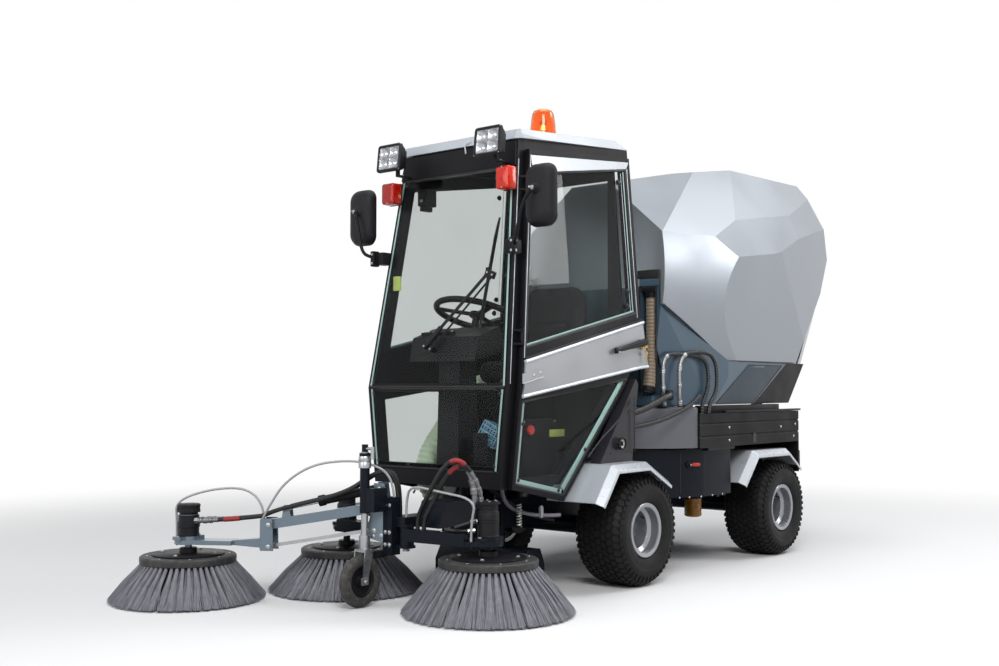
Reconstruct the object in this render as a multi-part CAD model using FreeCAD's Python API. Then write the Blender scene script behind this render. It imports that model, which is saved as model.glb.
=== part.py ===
import FreeCAD, Part
import math
import os

# Articulated street sweeper with a two-door cab, three side brushes on a front
# lift frame, and a faceted dirt hopper that tips over the rear end.
# Millimetres. X is the machine's left, Y points to its rear and Z up, with Y = 0
# at the front axle until the finished solids are moved to their middle.

os.makedirs("parts", exist_ok=True)
V = FreeCAD.Vector
BIG = 6000.0
bends = []

# Chassis and running gear
WHEELBASE = 1329.0
WHEEL_X = 410.0
TYRE_R = 250.0
TYRE_W = 250.0
TYRE_SEAT_R = 108.0
RIM_FLANGE_R = 122.0
RIM_WELL_R = 90.0
RIM_SHEET = 5.0
RIM_DISC_IN = 30.0
RIM_DISC_T = 8.0
HUB_PILOT_R = 30.0
RUNNING_FIT = 0.05
SEAT_GAP = 0.3
AXLE_TUBE_R = 42.0
WHEEL_MOTOR_R = 72.0
WHEEL_MOTOR_L = 115.0
HUB_FLANGE_R = 56.0
BEAM_HALF_W = 120.0
BEAM_BOTTOM_Z = 275.0
BEAM_TOP_Z = 400.0
BEAM_FRONT_Y = -560.0
PIVOT_Y = 665.0
PIVOT_PIN_R = 25.0
PIVOT_LUG_R = 75.0
PIVOT_LUG_T = 20.0

# Cab shell: half widths, slopes and panel thickness
CAB_MID_Z = 889.0
CAB_MID_Y = -835.0
CAB_SIDE_X = 405.0
CAB_TOP_Z = 1937.0
CAB_TOP_Y = -677.0
CAB_BOTTOM_Z = 475.0
CAB_BOTTOM_Y = -835.0
CAB_REAR_Y = 150.0
CAB_LEAN = 0.0735
CAB_TUCK = 0.11
CAB_WALL = 30.0
FLOOR_T = 12.0
REAR_WALL_Y = 62.0
ROOF_T = 40.0
ROOF_RISE = 0.0926
ROOF_REAR_Y = 111.0
GLASS_T = 5.0
DOOR_T = 22.0
DOOR_GAP = 6.0
DOOR_SEAL = 26.0
BELT_T = 8.0
HINGE_LOW = (433.0, -793.0, 880.0)
HINGE_HIGH = (360.0, -641.0, 1890.0)
HINGE_SPOTS = (1095.0, 1745.0)
HINGE_PIN_R = 4.0
HINGE_NOTCH_R = 23.0

# Fenders
FENDER_T = 4.0
FENDER_IN_X = 268.0
FENDER_OUT_X = 560.0
FENDER_LIP = 34.0

# Rear body
HOUSING_X = 520.0
HOUSING_TOP_Z = 762.0
HOUSING_BOTTOM_Z = 596.0
HOUSING_FRONT_Y = 470.0
HOUSING_REAR_Y = 1530.0
HOUSING_T = 12.0
DRUM_R = 545.0
DRUM_TOP_Z = 796.0
SKIRT_R = 500.0
SKIRT_TOP_Z = 590.0
SKIRT_BOTTOM_Z = 359.0
SKIRT_T = 5.0
SKIRT_IN_X = 200.0
SKIRT_REAR_Y = 822.0
SKIRT_STEP_X = 365.0
ENGINE_X = 250.0
ENGINE_Y0 = 800.0
ENGINE_Y1 = 1240.0
ENGINE_TOP_Z = 735.0

# Hopper
HOPPER_BASE_Z = 803.0
HOPPER_T = 10.0
BULGE_R = 1200.0
BULGE_X = 449.0
BULGE_Y = 270.0
BULGE_Z = 1400.0
BULGE_SLOPE = 0.172
SEAM_FRONT_Z = 1284.0
SEAM_REAR_Z = 1021.0
TIP_PIN_Y = 1600.0
TIP_PIN_Z = 780.0
TIP_PIN_R = 9.0
TOW_Y = 1596.0
TOW_Z = 350.0
TOW_BORE_R = 12.5
SERVICE_HOSE_R = 11.0
ARM_HOSE_R = 9.0
WATER_TUBE_R = 5.0

# Sweeping gear
LIFT_PIN_Y = -600.0
LIFT_PIN_Z = 330.0
LIFT_PIN_R = 15.0
POST_X = -30.0
POST_Y = -1060.0
BRUSH_TIP_R = 350.0
BRUSH_RING_R = 200.0
BRUSH_RING_Z = 200.0
BRUSH_RING_T = 32.0
BRUSH_TIP_Z = 4.0
BRUSH_SHAFT_R = 15.0
MOTOR_R = 42.0
MOTOR_FOOT_Z = 285.0
MOTOR_TOP_Z = 430.0
LEFT_BRUSH = (380.0, -930.0)
RIGHT_BRUSH = (-470.0, -900.0)
THIRD_BRUSH = (-801.0, -1497.0)
THIRD_TIP_R = 328.0
THIRD_LIFT = -30.0
ARM_PIN_R = 14.0
LEFT_ARM_PIN = (30.0, -1036.0)
RIGHT_ARM_PIN = (-90.0, -975.0)
ARM_H = 50.0
ARM_Z = 265.0
ARM_BOSS_TOP = 321.0
ARM_PIN_TOP = 340.0
LIFT_BEAM_TOP = 362.0
THIRD_FOOT_Z = 232.0
THIRD_FOOT_TOP = 250.0
THIRD_WEB_TOP = 340.0
CASTER_X = -100.0
CASTER_Y = -1145.0
CASTER_R = 105.0
CASTER_W = 44.0
CASTER_TRAIL = 24.0
CASTER_AXLE_R = 8.0


def box(x0, x1, y0, y1, z0, z1):
    return Part.makeBox(x1 - x0, y1 - y0, z1 - z0, V(x0, y0, z0))


def bar(start, end, radius):
    a = V(*start)
    b = V(*end)
    return Part.makeCylinder(radius, (b - a).Length, a, b - a)


def closed_face(points):
    return Part.Face(Part.makePolygon(points + [points[0]]))


def profile_x(outline, x0, x1):
    """Solid with a (y, z) outline between two X planes"""
    return closed_face([V(x0, y, z) for y, z in outline]).extrude(V(x1 - x0, 0, 0))


def profile_y(outline, y0, y1):
    """Solid with an (x, z) outline between two Y planes"""
    return closed_face([V(x, y0, z) for x, z in outline]).extrude(V(0, y1 - y0, 0))


def profile_z(outline, z0, z1):
    """Solid with an (x, y) outline between two Z planes"""
    return closed_face([V(x, y, z0) for x, y in outline]).extrude(V(0, 0, z1 - z0))


def turned(outline, centre, axis):
    """Ring with an outline of (radius, height) points about an axis"""
    ring = closed_face([V(r, 0, h) for r, h in outline]).revolve(V(), V(0, 0, 1), 360)
    ring.Placement = FreeCAD.Placement(V(*centre), FreeCAD.Rotation(V(0, 0, 1), V(*axis)))
    return ring


def fused(*pieces):
    return pieces[0].multiFuse(list(pieces[1:])).removeSplitter()


def cut(solid, *tools):
    for tool in tools:
        solid = solid.cut(tool)
    return solid


def mirrored(shape):
    return shape.mirror(V(), V(1, 0, 0))


def pair(shape):
    return Part.makeCompound([shape, mirrored(shape)])


def group(*solids):
    return Part.makeCompound(list(solids))


def beyond(point, normal):
    """Everything on the outer side of a plane"""
    block = Part.makeBox(BIG, BIG, BIG, V(-BIG / 2, -BIG / 2, 0))
    block.Placement = FreeCAD.Placement(V(*point), FreeCAD.Rotation(V(0, 0, 1), V(*normal)))
    return block


def facet_normal(a, b, c):
    normal = (V(*b) - V(*a)).cross(V(*c) - V(*a))
    normal.normalize()
    return normal if normal.x > 0 else normal * -1


def route(points):
    """Straight runs joined by tangent arcs, as large as the two runs allow"""
    corners = [V(*point) for point in points]
    edges = []
    at = corners[0]
    for before, corner, after in zip(corners, corners[1:], corners[2:]):
        back = before - corner
        ahead = after - corner
        setback = 0.45 * min(back.Length, ahead.Length)
        back.normalize()
        ahead.normalize()
        half_turn = (math.pi - back.getAngle(ahead)) / 2
        radius = setback / math.tan(half_turn)
        bends.append(radius)
        inward = back + ahead
        inward.normalize()
        arc_start = corner + back * setback
        arc_end = corner + ahead * setback
        arc_mid = corner + inward * (radius / math.cos(half_turn) - radius)
        edges.append(Part.LineSegment(at, arc_start).toShape())
        edges.append(Part.Arc(arc_start, arc_mid, arc_end).toShape())
        at = arc_end
    edges.append(Part.LineSegment(at, corners[-1]).toShape())
    return Part.Wire(edges)


def hose(points, radius):
    start = V(*points[0])
    ahead = V(*points[1]) - start
    section = Part.Wire([Part.makeCircle(radius, start, ahead)])
    bends.clear()
    tube = route(points).makePipeShell([section], True, False)
    print("hose radius", radius, "bend radii", [round(bend) for bend in bends])
    return tube


# Running gear

def tyre(y, side):
    half = TYRE_W / 2
    bead = half - 25
    outline = [(TYRE_SEAT_R, -bead), (RIM_FLANGE_R, -bead), (150, -half + 7), (185, -half),
               (215, -half + 3), (TYRE_R - 10, -half + 20), (TYRE_R, -half + 48),
               (TYRE_R, half - 48), (TYRE_R - 10, half - 20), (215, half - 3), (185, half),
               (150, half - 7), (RIM_FLANGE_R, bead), (TYRE_SEAT_R, bead)]
    return turned(outline, (side * WHEEL_X, y, TYRE_R), (side, 0, 0))


def rim(y, side):
    bead = TYRE_W / 2 - 25
    seat = TYRE_SEAT_R
    well = RIM_WELL_R
    t = RIM_SHEET
    disc_out = -RIM_DISC_IN + RIM_DISC_T
    bore = HUB_PILOT_R + RUNNING_FIT
    outline = [(seat, bead), (RIM_FLANGE_R, bead), (RIM_FLANGE_R, bead + t),
               (seat - t, bead + t), (seat - t, bead - 34), (well - t, bead - 44),
               (well - t, disc_out), (bore, disc_out), (bore, -RIM_DISC_IN), (well - t, -RIM_DISC_IN),
               (well - t, -bead + 16), (seat - t, -bead + 6), (seat - t, -bead - t),
               (RIM_FLANGE_R, -bead - t), (RIM_FLANGE_R, -bead), (seat, -bead),
               (seat, -bead + 10), (well, -bead + 20), (well, bead - 48), (seat, bead - 38)]
    return turned(outline, (side * WHEEL_X, y, TYRE_R), (side, 0, 0))


def axle(y):
    """Axle tube with a hydraulic wheel motor and hub at each end"""
    disc_face = WHEEL_X - RIM_DISC_IN - SEAT_GAP
    motor_out = disc_face - 50
    motor_in = motor_out - WHEEL_MOTOR_L
    pilot_end = WHEEL_X - RIM_DISC_IN + RIM_DISC_T + 12
    end = fused(bar((motor_in, y, TYRE_R), (motor_out, y, TYRE_R), WHEEL_MOTOR_R),
                bar((motor_out, y, TYRE_R), (disc_face, y, TYRE_R), HUB_FLANGE_R),
                bar((disc_face, y, TYRE_R), (pilot_end, y, TYRE_R), HUB_PILOT_R))
    tube = bar((-motor_in, y, TYRE_R), (motor_in, y, TYRE_R), AXLE_TUBE_R)
    return fused(tube, end, mirrored(end))


def front_frame():
    beam = box(-BEAM_HALF_W, BEAM_HALF_W, BEAM_FRONT_Y, 450, BEAM_BOTTOM_Z, BEAM_TOP_Z)
    yoke_top = BEAM_TOP_Z + 5
    yoke_bottom = BEAM_BOTTOM_Z - 5
    arm = profile_z([(-BEAM_HALF_W, 380), (BEAM_HALF_W, 380), (BEAM_HALF_W, 470),
                     (PIVOT_LUG_R, PIVOT_Y), (-PIVOT_LUG_R, PIVOT_Y), (-BEAM_HALF_W, 470)],
                    yoke_bottom, yoke_top)
    nose = bar((0, PIVOT_Y, yoke_bottom), (0, PIVOT_Y, yoke_top), PIVOT_LUG_R)
    slot = box(-BIG, BIG, 452, BIG, yoke_bottom + PIVOT_LUG_T, yoke_top - PIVOT_LUG_T)
    pin = bar((0, PIVOT_Y, yoke_bottom - 12), (0, PIVOT_Y, yoke_top + 12), PIVOT_PIN_R)
    yoke = fused(cut(fused(arm, nose), slot), pin)
    mounts = [bar((side * 100, y, BEAM_TOP_Z), (side * 100, y, CAB_BOTTOM_Z), 28)
              for side in (-1, 1) for y in (-520, -40)]
    hitch = box(-150, 150, BEAM_FRONT_Y - 15, BEAM_FRONT_Y, 240, BEAM_TOP_Z)
    lug = fused(profile_x([(BEAM_FRONT_Y - 15, 290), (LIFT_PIN_Y, 300), (LIFT_PIN_Y, 360),
                           (BEAM_FRONT_Y - 15, 380)], 100, 118),
                bar((100, LIFT_PIN_Y, LIFT_PIN_Z), (118, LIFT_PIN_Y, LIFT_PIN_Z), 30))
    pin = bar((-124, LIFT_PIN_Y, LIFT_PIN_Z), (124, LIFT_PIN_Y, LIFT_PIN_Z), LIFT_PIN_R)
    return fused(beam, yoke, axle(0), hitch, lug, mirrored(lug), pin, *mounts)


def fender(wheel_y, front, rise, crest, drop):
    """Bent sheet over a wheel, with a lip along its outer edge"""
    outline = [front, rise, crest, drop]
    outline = [(wheel_y + y, z) for y, z in outline]

    def under(depth):
        lowered = [(outline[0][0] + depth * 1.2, outline[0][1] - 0.2 * depth),
                   (outline[1][0] + 0.5 * depth, outline[1][1] - depth),
                   (outline[2][0] - 0.35 * depth, outline[2][1] - depth),
                   (outline[3][0] - 1.1 * depth, outline[3][1] - 0.5 * depth)]
        return [(lowered[0][0], 0)] + lowered + [(lowered[3][0], 0)]

    floor_z = min(outline[0][1], outline[3][1])
    body = profile_x([(outline[0][0], floor_z - 60)] + outline + [(outline[3][0], floor_z - 60)],
                     FENDER_IN_X, FENDER_OUT_X)
    hollow = profile_x(under(FENDER_T), FENDER_IN_X - 1, FENDER_OUT_X - FENDER_T)
    window = profile_x(under(FENDER_LIP), FENDER_IN_X - 1, FENDER_OUT_X + 1)
    below = box(-BIG, BIG, outline[0][0] - 1, wheel_y, 0, outline[0][1])
    behind = box(-BIG, BIG, wheel_y, outline[3][0] + 1, 0, outline[3][1])
    return cut(body, hollow, window, below, behind)


def front_fenders():
    return pair(fender(0, (-412, 400), (-290, 556), (-20, 558), (165, 462)))


def rear_fenders():
    sheet = fender(WHEELBASE, (-498, 412), (-350, 566), (22, 564), (168, 470))
    blocks = [box(HOUSING_X - HOUSING_T, HOUSING_X, y, y + 40, 562, HOUSING_BOTTOM_Z) for y in (1020, 1280)]
    return pair(fused(sheet, *blocks))


# Cab

def side_x(z):
    """Outer half width of the cab frame at a height"""
    if z > CAB_MID_Z:
        return CAB_SIDE_X - CAB_LEAN * (z - CAB_MID_Z)
    return CAB_SIDE_X - CAB_TUCK * (CAB_MID_Z - z)


def front_y(z):
    """Outer face of the windscreen frame at a height"""
    if z > CAB_MID_Z:
        return CAB_MID_Y + (CAB_TOP_Y - CAB_MID_Y) * (z - CAB_MID_Z) / (CAB_TOP_Z - CAB_MID_Z)
    return CAB_MID_Y


def roof_z(y):
    """Underside of the roof above a point along the cab"""
    return CAB_TOP_Z + (y - CAB_TOP_Y) * ROOF_RISE


def front_panel(z0, z1, inset, thickness, depth):
    """Slice of the leaning front face between two heights, inset from the cab's edges"""
    corners = [(side_x(z) - inset, front_y(z) + depth, z) for z in (z0, z1)]
    (x0, y0, z0), (x1, y1, z1) = corners
    face = closed_face([V(-x0, y0, z0), V(x0, y0, z0), V(x1, y1, z1), V(-x1, y1, z1)])
    return face.extrude(V(0, thickness, 0))


def cab_front():
    """Windscreen frame with its two openings and the header band"""
    top = CAB_TOP_Z - 2
    upper = cut(front_panel(CAB_MID_Z, top, 0, CAB_WALL, 0),
                front_panel(CAB_MID_Z + 18, 1815, 40, CAB_WALL * 4, -CAB_WALL))
    lower = cut(front_panel(CAB_BOTTOM_Z, CAB_MID_Z, 0, CAB_WALL, 0),
                front_panel(565, CAB_MID_Z - 18, 40, CAB_WALL * 4, -CAB_WALL))
    header = front_panel(1822, top - 8, 4, 12, -10)
    lugs = hinge_lugs()
    return fused(upper, lower, header, lugs, mirrored(lugs))


def hinge_point(z):
    """Point of the left door's leaning hinge line at a height"""
    share = (z - HINGE_LOW[2]) / (HINGE_HIGH[2] - HINGE_LOW[2])
    return tuple(low + (high - low) * share for low, high in zip(HINGE_LOW, HINGE_HIGH))


def hinge_lugs():
    """Pins and plates of the left door's two hinges, standing on the windscreen frame"""
    pieces = []
    for spot in HINGE_SPOTS:
        pieces.append(bar(hinge_point(spot - 34), hinge_point(spot + 34), HINGE_PIN_R))
        for z in (spot - 32, spot + 24):
            x, y, level = hinge_point(z)
            edge = side_x(z) - 4
            outline = [(x - 3, y + 7), (x + 6, y + 4), (x + 7, y - 4), (edge, front_y(z) + 6), (edge, front_y(z) + 24)]
            pieces.append(profile_z(outline, z, z + 8))
    return fused(*pieces)


SUCTION_HOSE_R = 50.0
SUCTION_HOSE = [(-190, -475, 190), (-190, -475, 300), (-272, -585, 420), (-272, -610, 560), (-272, -440, 740),
                (-272, -240, 930), (-272, REAR_WALL_Y - 15, 930)]


def suction_hose():
    return hose(SUCTION_HOSE, SUCTION_HOSE_R)


def cab_glass():
    upper = front_panel(CAB_MID_Z + 3, 1819, 16, GLASS_T, -GLASS_T)
    lower = front_panel(545, CAB_MID_Z - 3, 22, GLASS_T, -GLASS_T)
    rear = box(-300, 300, REAR_WALL_Y, REAR_WALL_Y + GLASS_T, 1130, 1880)
    return group(upper, lower, rear)


def leaning(outline, inner, outer):
    """Side panel with a (y, z) outline, following the cab's two side slopes on the left"""
    rise = 1200.0
    band = [(inner, CAB_MID_Z), (inner - CAB_TUCK * rise, CAB_MID_Z - rise),
            (outer - CAB_TUCK * rise, CAB_MID_Z - rise), (outer, CAB_MID_Z),
            (outer - CAB_LEAN * rise, CAB_MID_Z + rise), (inner - CAB_LEAN * rise, CAB_MID_Z + rise)]
    return profile_x(outline, 0, BIG).common(profile_y(band, -BIG, BIG))


DOOR_OUTLINE = [(-792, 880), (-768, 1010), (-640, 1895), (120, 1966), (126, 1195), (150, 985), (12, 958),
                (-436, 404), (-792, 476)]


def side_frame():
    """Rear pillar, roof rail and slanted sill behind the door opening"""
    inner = CAB_SIDE_X - CAB_WALL
    top_front = (CAB_TOP_Y + CAB_WALL, CAB_TOP_Z - 2)
    top_rear = (CAB_REAR_Y, roof_z(CAB_REAR_Y) - 2)
    outline = [(CAB_MID_Y + CAB_WALL, CAB_MID_Z), top_front, top_rear, (CAB_REAR_Y, 985), (30, 965),
               (-432, CAB_BOTTOM_Z), (CAB_BOTTOM_Y + CAB_WALL, CAB_BOTTOM_Z)]
    opening = [(-765, 890), (-626, 1870), (98, 1937), (100, 1200), (112, 1012), (12, 1000), (-448, 515), (-765, 515)]
    return cut(leaning(outline, inner, CAB_SIDE_X), leaning(opening, inner - 40, CAB_SIDE_X + 40))


def cab_frame():
    """Both side frames, floor, seat box and the set-back rear wall"""
    side = side_frame()
    floor_x = side_x(CAB_BOTTOM_Z) - CAB_WALL + 5
    floor = fused(box(-floor_x, floor_x, CAB_BOTTOM_Y + CAB_WALL, -425, CAB_BOTTOM_Z, CAB_BOTTOM_Z + FLOOR_T),
                  box(-255, 255, -425, REAR_WALL_Y, CAB_BOTTOM_Z, CAB_BOTTOM_Z + FLOOR_T))
    seat_box = box(-212, 255, -330, REAR_WALL_Y - 15, CAB_BOTTOM_Z + FLOOR_T, 880)
    wall_x = side_x(CAB_TOP_Z) - CAB_WALL + 4
    wall = fused(box(-255, 255, REAR_WALL_Y - 15, REAR_WALL_Y, CAB_BOTTOM_Z, 600),
                 box(-wall_x, wall_x, REAR_WALL_Y - 15, REAR_WALL_Y, 600, roof_z(REAR_WALL_Y) - 2))
    window = box(-280, 280, REAR_WALL_Y - 40, REAR_WALL_Y + 40, 1150, 1860)
    shelf = fused(box(255, 352, -320, REAR_WALL_Y - 15, 600, 612), box(300, 446, -200, -30, 600, 612))
    rail = box(-wall_x, wall_x, REAR_WALL_Y - 15, CAB_REAR_Y - 10, roof_z(REAR_WALL_Y) - 30,
               roof_z(REAR_WALL_Y) - 4)
    step = [(wall_x - 2, 600), (wall_x - 2, roof_z(REAR_WALL_Y) - 4)]
    return_x = side_x(CAB_MID_Z) - CAB_WALL + 6
    fin = profile_y([step[0], (side_x(600) - CAB_WALL + 6, 600), (return_x, CAB_MID_Z),
                     (side_x(CAB_TOP_Z) - CAB_WALL + 6, roof_z(REAR_WALL_Y) - 4), step[1]],
                    REAR_WALL_Y - 15, REAR_WALL_Y)
    floor = floor.cut(hose(SUCTION_HOSE, SUCTION_HOSE_R + 4))
    other_shelf = mirrored(box(380, 446, -200, -30, 600, 612).fuse(box(205, 380, -70, -30, 600, 612)))
    return fused(side, mirrored(side), floor, seat_box, cut(wall, window), shelf, other_shelf, rail, fin, mirrored(fin))


def cab_roof():
    outline = [(CAB_TOP_Y - 12, CAB_TOP_Z), (CAB_TOP_Y - 4, CAB_TOP_Z + ROOF_T),
               (ROOF_REAR_Y - 40, roof_z(ROOF_REAR_Y) + ROOF_T - 2), (ROOF_REAR_Y + 45, roof_z(ROOF_REAR_Y + 45))]
    half = side_x(CAB_TOP_Z) + 14
    slab = profile_x(outline, -half, half)
    for side in (-1, 1):
        slab = slab.cut(beyond((side * (half - 26), CAB_TOP_Y - 12, CAB_TOP_Z), (side, -1.2, 0)))
        slab = slab.cut(beyond((side * half, 0, CAB_TOP_Z + 20), (side, 0, 0.35)))
    return slab


def door_shift(shape):
    """Bring a door piece out past the running gap around the frame"""
    shape.translate(V(DOOR_GAP, 0, 0))
    return shape


UPPER_WINDOW = [(-742, 1052), (-632, 1790), (84, 1905), (92, 1232)]
LOWER_WINDOW = [(-774, 832), (-774, 497), (-440, 430), (-22, 926)]
BELT_OUTLINE = [(-783, 847), (-758, 997), (132, 1194), (152, 985), (80, 979)]
DOOR_CREST = [(-636, 1868), (-624, 1796), (86, 1911), (110, 1945)]


def door_frame():
    """Door shell with its two window openings and the barrels of its hinges"""
    inner = CAB_SIDE_X
    outer = CAB_SIDE_X + DOOR_T
    frame = leaning(DOOR_OUTLINE, inner, outer)
    frame = door_shift(cut(frame, leaning(UPPER_WINDOW, inner - 60, outer + 60),
                           leaning(LOWER_WINDOW, inner - 60, outer + 60)))
    for spot in HINGE_SPOTS:
        notches = [bar(hinge_point(z - 4), hinge_point(z + 12), HINGE_NOTCH_R) for z in (spot - 32, spot + 24)]
        barrel = bar(hinge_point(spot - 20), hinge_point(spot + 20), 9)
        bore = bar(hinge_point(spot - 60), hinge_point(spot + 60), HINGE_PIN_R + RUNNING_FIT)
        frame = fused(cut(frame, *notches), barrel).cut(bore)
    return frame


def door_panel():
    """Silver belt with its two trims and pull handle, and the crest above the window"""
    outer = CAB_SIDE_X + DOOR_T
    belt = leaning(BELT_OUTLINE, outer, outer + BELT_T)
    crest = leaning(DOOR_CREST, outer, outer + 3)
    grip = leaning([(-125, 1040), (-120, 1062), (120, 1112), (118, 1088)], outer + 22, outer + 36)
    feet = [leaning([(y, 1040 + rise), (y, 1062 + rise), (y + 26, 1062 + rise), (y + 26, 1040 + rise)],
                    outer + BELT_T, outer + 24) for y, rise in ((-112, 4), (84, 44))]
    hinge = leaning([(-790, 905), (-786, 945), (-650, 972), (-650, 932)], outer + BELT_T, outer + BELT_T + 5)
    return door_shift(group(fused(belt, grip, hinge, *feet), crest))


def door_glass():
    middle = CAB_SIDE_X + DOOR_T / 2
    upper = leaning(UPPER_WINDOW, middle - GLASS_T / 2, middle + GLASS_T / 2)
    lower = leaning(LOWER_WINDOW, middle - GLASS_T / 2, middle + GLASS_T / 2)
    return door_shift(group(upper, lower))


def seat():
    base = box(-150, 150, -300, -40, 880, 915)
    cushion = box(-230, 230, -345, 10, 915, 1010)
    back = profile_x([(-60, 1010), (-20, 1380), (35, 1380), (10, 1010)], -215, 215)
    return group(base, fused(cushion, back))


def steering_console():
    """Dash pod on its column, with the tilted steering wheel"""
    column = profile_x([(-760, CAB_BOTTOM_Z + FLOOR_T), (-740, 1060), (-640, 1080), (-620, CAB_BOTTOM_Z + FLOOR_T)],
                       -60, 60)
    pod = profile_x([(-795, 1000), (-770, 1105), (-640, 1150), (-590, 1050)], -190, 190)
    tilt = (0, 0.35, 1)
    hub = (0, -560, 1210)
    stem = bar((0, -610, 1080), hub, 16)
    boss = turned([(0, -12), (34, -12), (34, 8), (0, 8)], hub, tilt)
    wheel = Part.makeTorus(185, 14, V(), V(0, 0, 1))
    spokes = [Part.makeBox(170, 26, 10, V(20, -13, -5)) for turn in range(3)]
    for turn, spoke in enumerate(spokes):
        spoke.rotate(V(), V(0, 0, 1), 90 + 120 * turn)
    wheel = fused(wheel, *spokes)
    wheel.Placement = FreeCAD.Placement(V(*hub), FreeCAD.Rotation(V(0, 0, 1), V(*tilt)))
    return fused(column, pod, stem, boss, wheel)


def side_panels():
    """Grey quarter panel behind each door, standing on the front fender"""
    plate = profile_x([(-264, 555), (-12, 555), (4, 700), (40, 905), (20, 928)], 396, 452)
    hollow = profile_x([(-250, 550), (-18, 550), (-2, 700), (33, 900), (20, 912)], 390, 446)
    gauge = bar((446, -118, 640), (464, -118, 640), 28)
    return pair(fused(cut(plate, hollow), gauge)).cut(front_fenders())


def beacon():
    y = -83
    foot = roof_z(y) + ROOF_T - 2
    light = fused(bar((0, y, foot - 4), (0, y, foot + 12), 62),
                  turned([(0, 12), (70, 12), (68, 60), (52, 178), (44, 186), (0, 186)], (0, y, foot), (0, 0, 1)))
    return light.cut(cab_roof())


def front_lamps():
    """Square work lamps on brackets in front of the header band, with marker lamps below"""
    lamp = box(-72, 72, -35, 35, -62, 62)
    hood = cut(lamp, box(-64, 64, -40, -28, -54, 54))
    hood.Placement = FreeCAD.Placement(V(287, -800, 1905), FreeCAD.Rotation(V(1, 0, 0), -6))
    arm = fused(box(275, 299, -770, -698, 1832, 1840), box(275, 299, -776, -768, 1832, 1880))
    work = fused(hood, arm).cut(cab_front())
    marker = fused(box(296, 372, -795, -735, 1708, 1806), box(327, 341, -740, front_y(1780) + 1, 1740, 1780))
    marker = marker.cut(cab_front())
    return group(work, mirrored(work), marker, mirrored(marker))


def mirrors():
    head = box(446, 590, -800, -748, 1538, 1795)
    arm = hose([(400, -775, 1467), (440, -835, 1480), (470, -838, 1600), (518, -800, 1667)], 9)
    clamp = fused(box(350, 412, -800, -742, 1437, 1497), box(392, 420, -820, -780, 1430, 1504))
    return pair(fused(head, arm, clamp).cut(cab_front()))


def wiper():
    lift = 14
    pivot = V(-65, front_y(1066) - lift, 1066)
    middle = V(253, front_y(1367) - lift, 1367)
    tip = V(277, front_y(1600) - lift, 1600)
    low = V(229, front_y(1134) - lift, 1134)
    arm = Part.makeCylinder(7, (middle - pivot).Length, pivot, middle - pivot)
    link_start = pivot + V(45, 0, -10)
    link = Part.makeCylinder(6, (middle - link_start).Length, link_start, middle - link_start)
    blade = Part.makeCylinder(8, (tip - low).Length, low, tip - low)
    feet = [Part.makeCylinder(13, lift + 4, point + V(0, -8, 0), V(0, 1, 0)) for point in (pivot, link_start)]
    return fused(arm, link, blade, *feet).cut(cab_glass())


def suction_mouth():
    """Suction shoe between the brushes and the front wheels"""
    shoe = profile_x([(-560, 14), (-560, 120), (-520, 190), (-430, 190), (-400, 120), (-400, 14)], -250, 250)
    hollow = profile_x([(-545, 0), (-545, 112), (-512, 176), (-438, 176), (-415, 112), (-415, 0)], -236, 236)
    hanger = box(-60, 60, -520, -440, 186, BEAM_BOTTOM_Z)
    return fused(cut(shoe, hollow), hanger)


# Rear body

def rear_frame():
    eye_top = BEAM_TOP_Z + 5 - PIVOT_LUG_T - 0.5
    eye_bottom = BEAM_BOTTOM_Z - 5 + PIVOT_LUG_T + 0.5
    eye = fused(bar((0, PIVOT_Y, eye_bottom), (0, PIVOT_Y, eye_top), 62),
                box(-62, 62, PIVOT_Y, 790, eye_bottom, eye_top))
    eye = eye.cut(bar((0, PIVOT_Y, 0), (0, PIVOT_Y, 600), PIVOT_PIN_R + RUNNING_FIT))
    beam = box(-150, 150, 770, HOUSING_REAR_Y + 4, BEAM_BOTTOM_Z, BEAM_TOP_Z)
    cross = box(-440, 440, 770, 795, 340, BEAM_TOP_Z)
    tail_y = HOUSING_REAR_Y + 16
    tail = box(-230, 230, HOUSING_REAR_Y + 4, tail_y, 300, 600)
    jaw = fused(*[box(-32, 32, tail_y, TOW_Y, z, z + 14).fuse(bar((0, TOW_Y, z), (0, TOW_Y, z + 14), 32))
                  for z in (TOW_Z - 30, TOW_Z + 16)])
    tail = fused(tail, jaw).cut(bar((0, TOW_Y, 0), (0, TOW_Y, TOW_Z + 100), TOW_BORE_R))
    post = fused(box(200, 224, HOUSING_REAR_Y + 4, TIP_PIN_Y + 17, 420, TIP_PIN_Z),
                 bar((200, TIP_PIN_Y, TIP_PIN_Z), (224, TIP_PIN_Y, TIP_PIN_Z), 17))
    pin = bar((190, TIP_PIN_Y, TIP_PIN_Z), (262, TIP_PIN_Y, TIP_PIN_Z), TIP_PIN_R)
    deck_z = HOUSING_TOP_Z - HOUSING_T
    props = [box(side * 120 - 15, side * 120 + 15, y, y + 25, BEAM_TOP_Z - 20, deck_z)
             for side in (-1, 1) for y in (770, 1440)]
    props += [box(side * 400 - 12, side * 400 + 12, 770, 795, BEAM_TOP_Z - 20, deck_z) for side in (-1, 1)]
    return fused(eye, beam, cross, axle(WHEELBASE), tail, post, mirrored(post), pin, mirrored(pin), *props)


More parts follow.
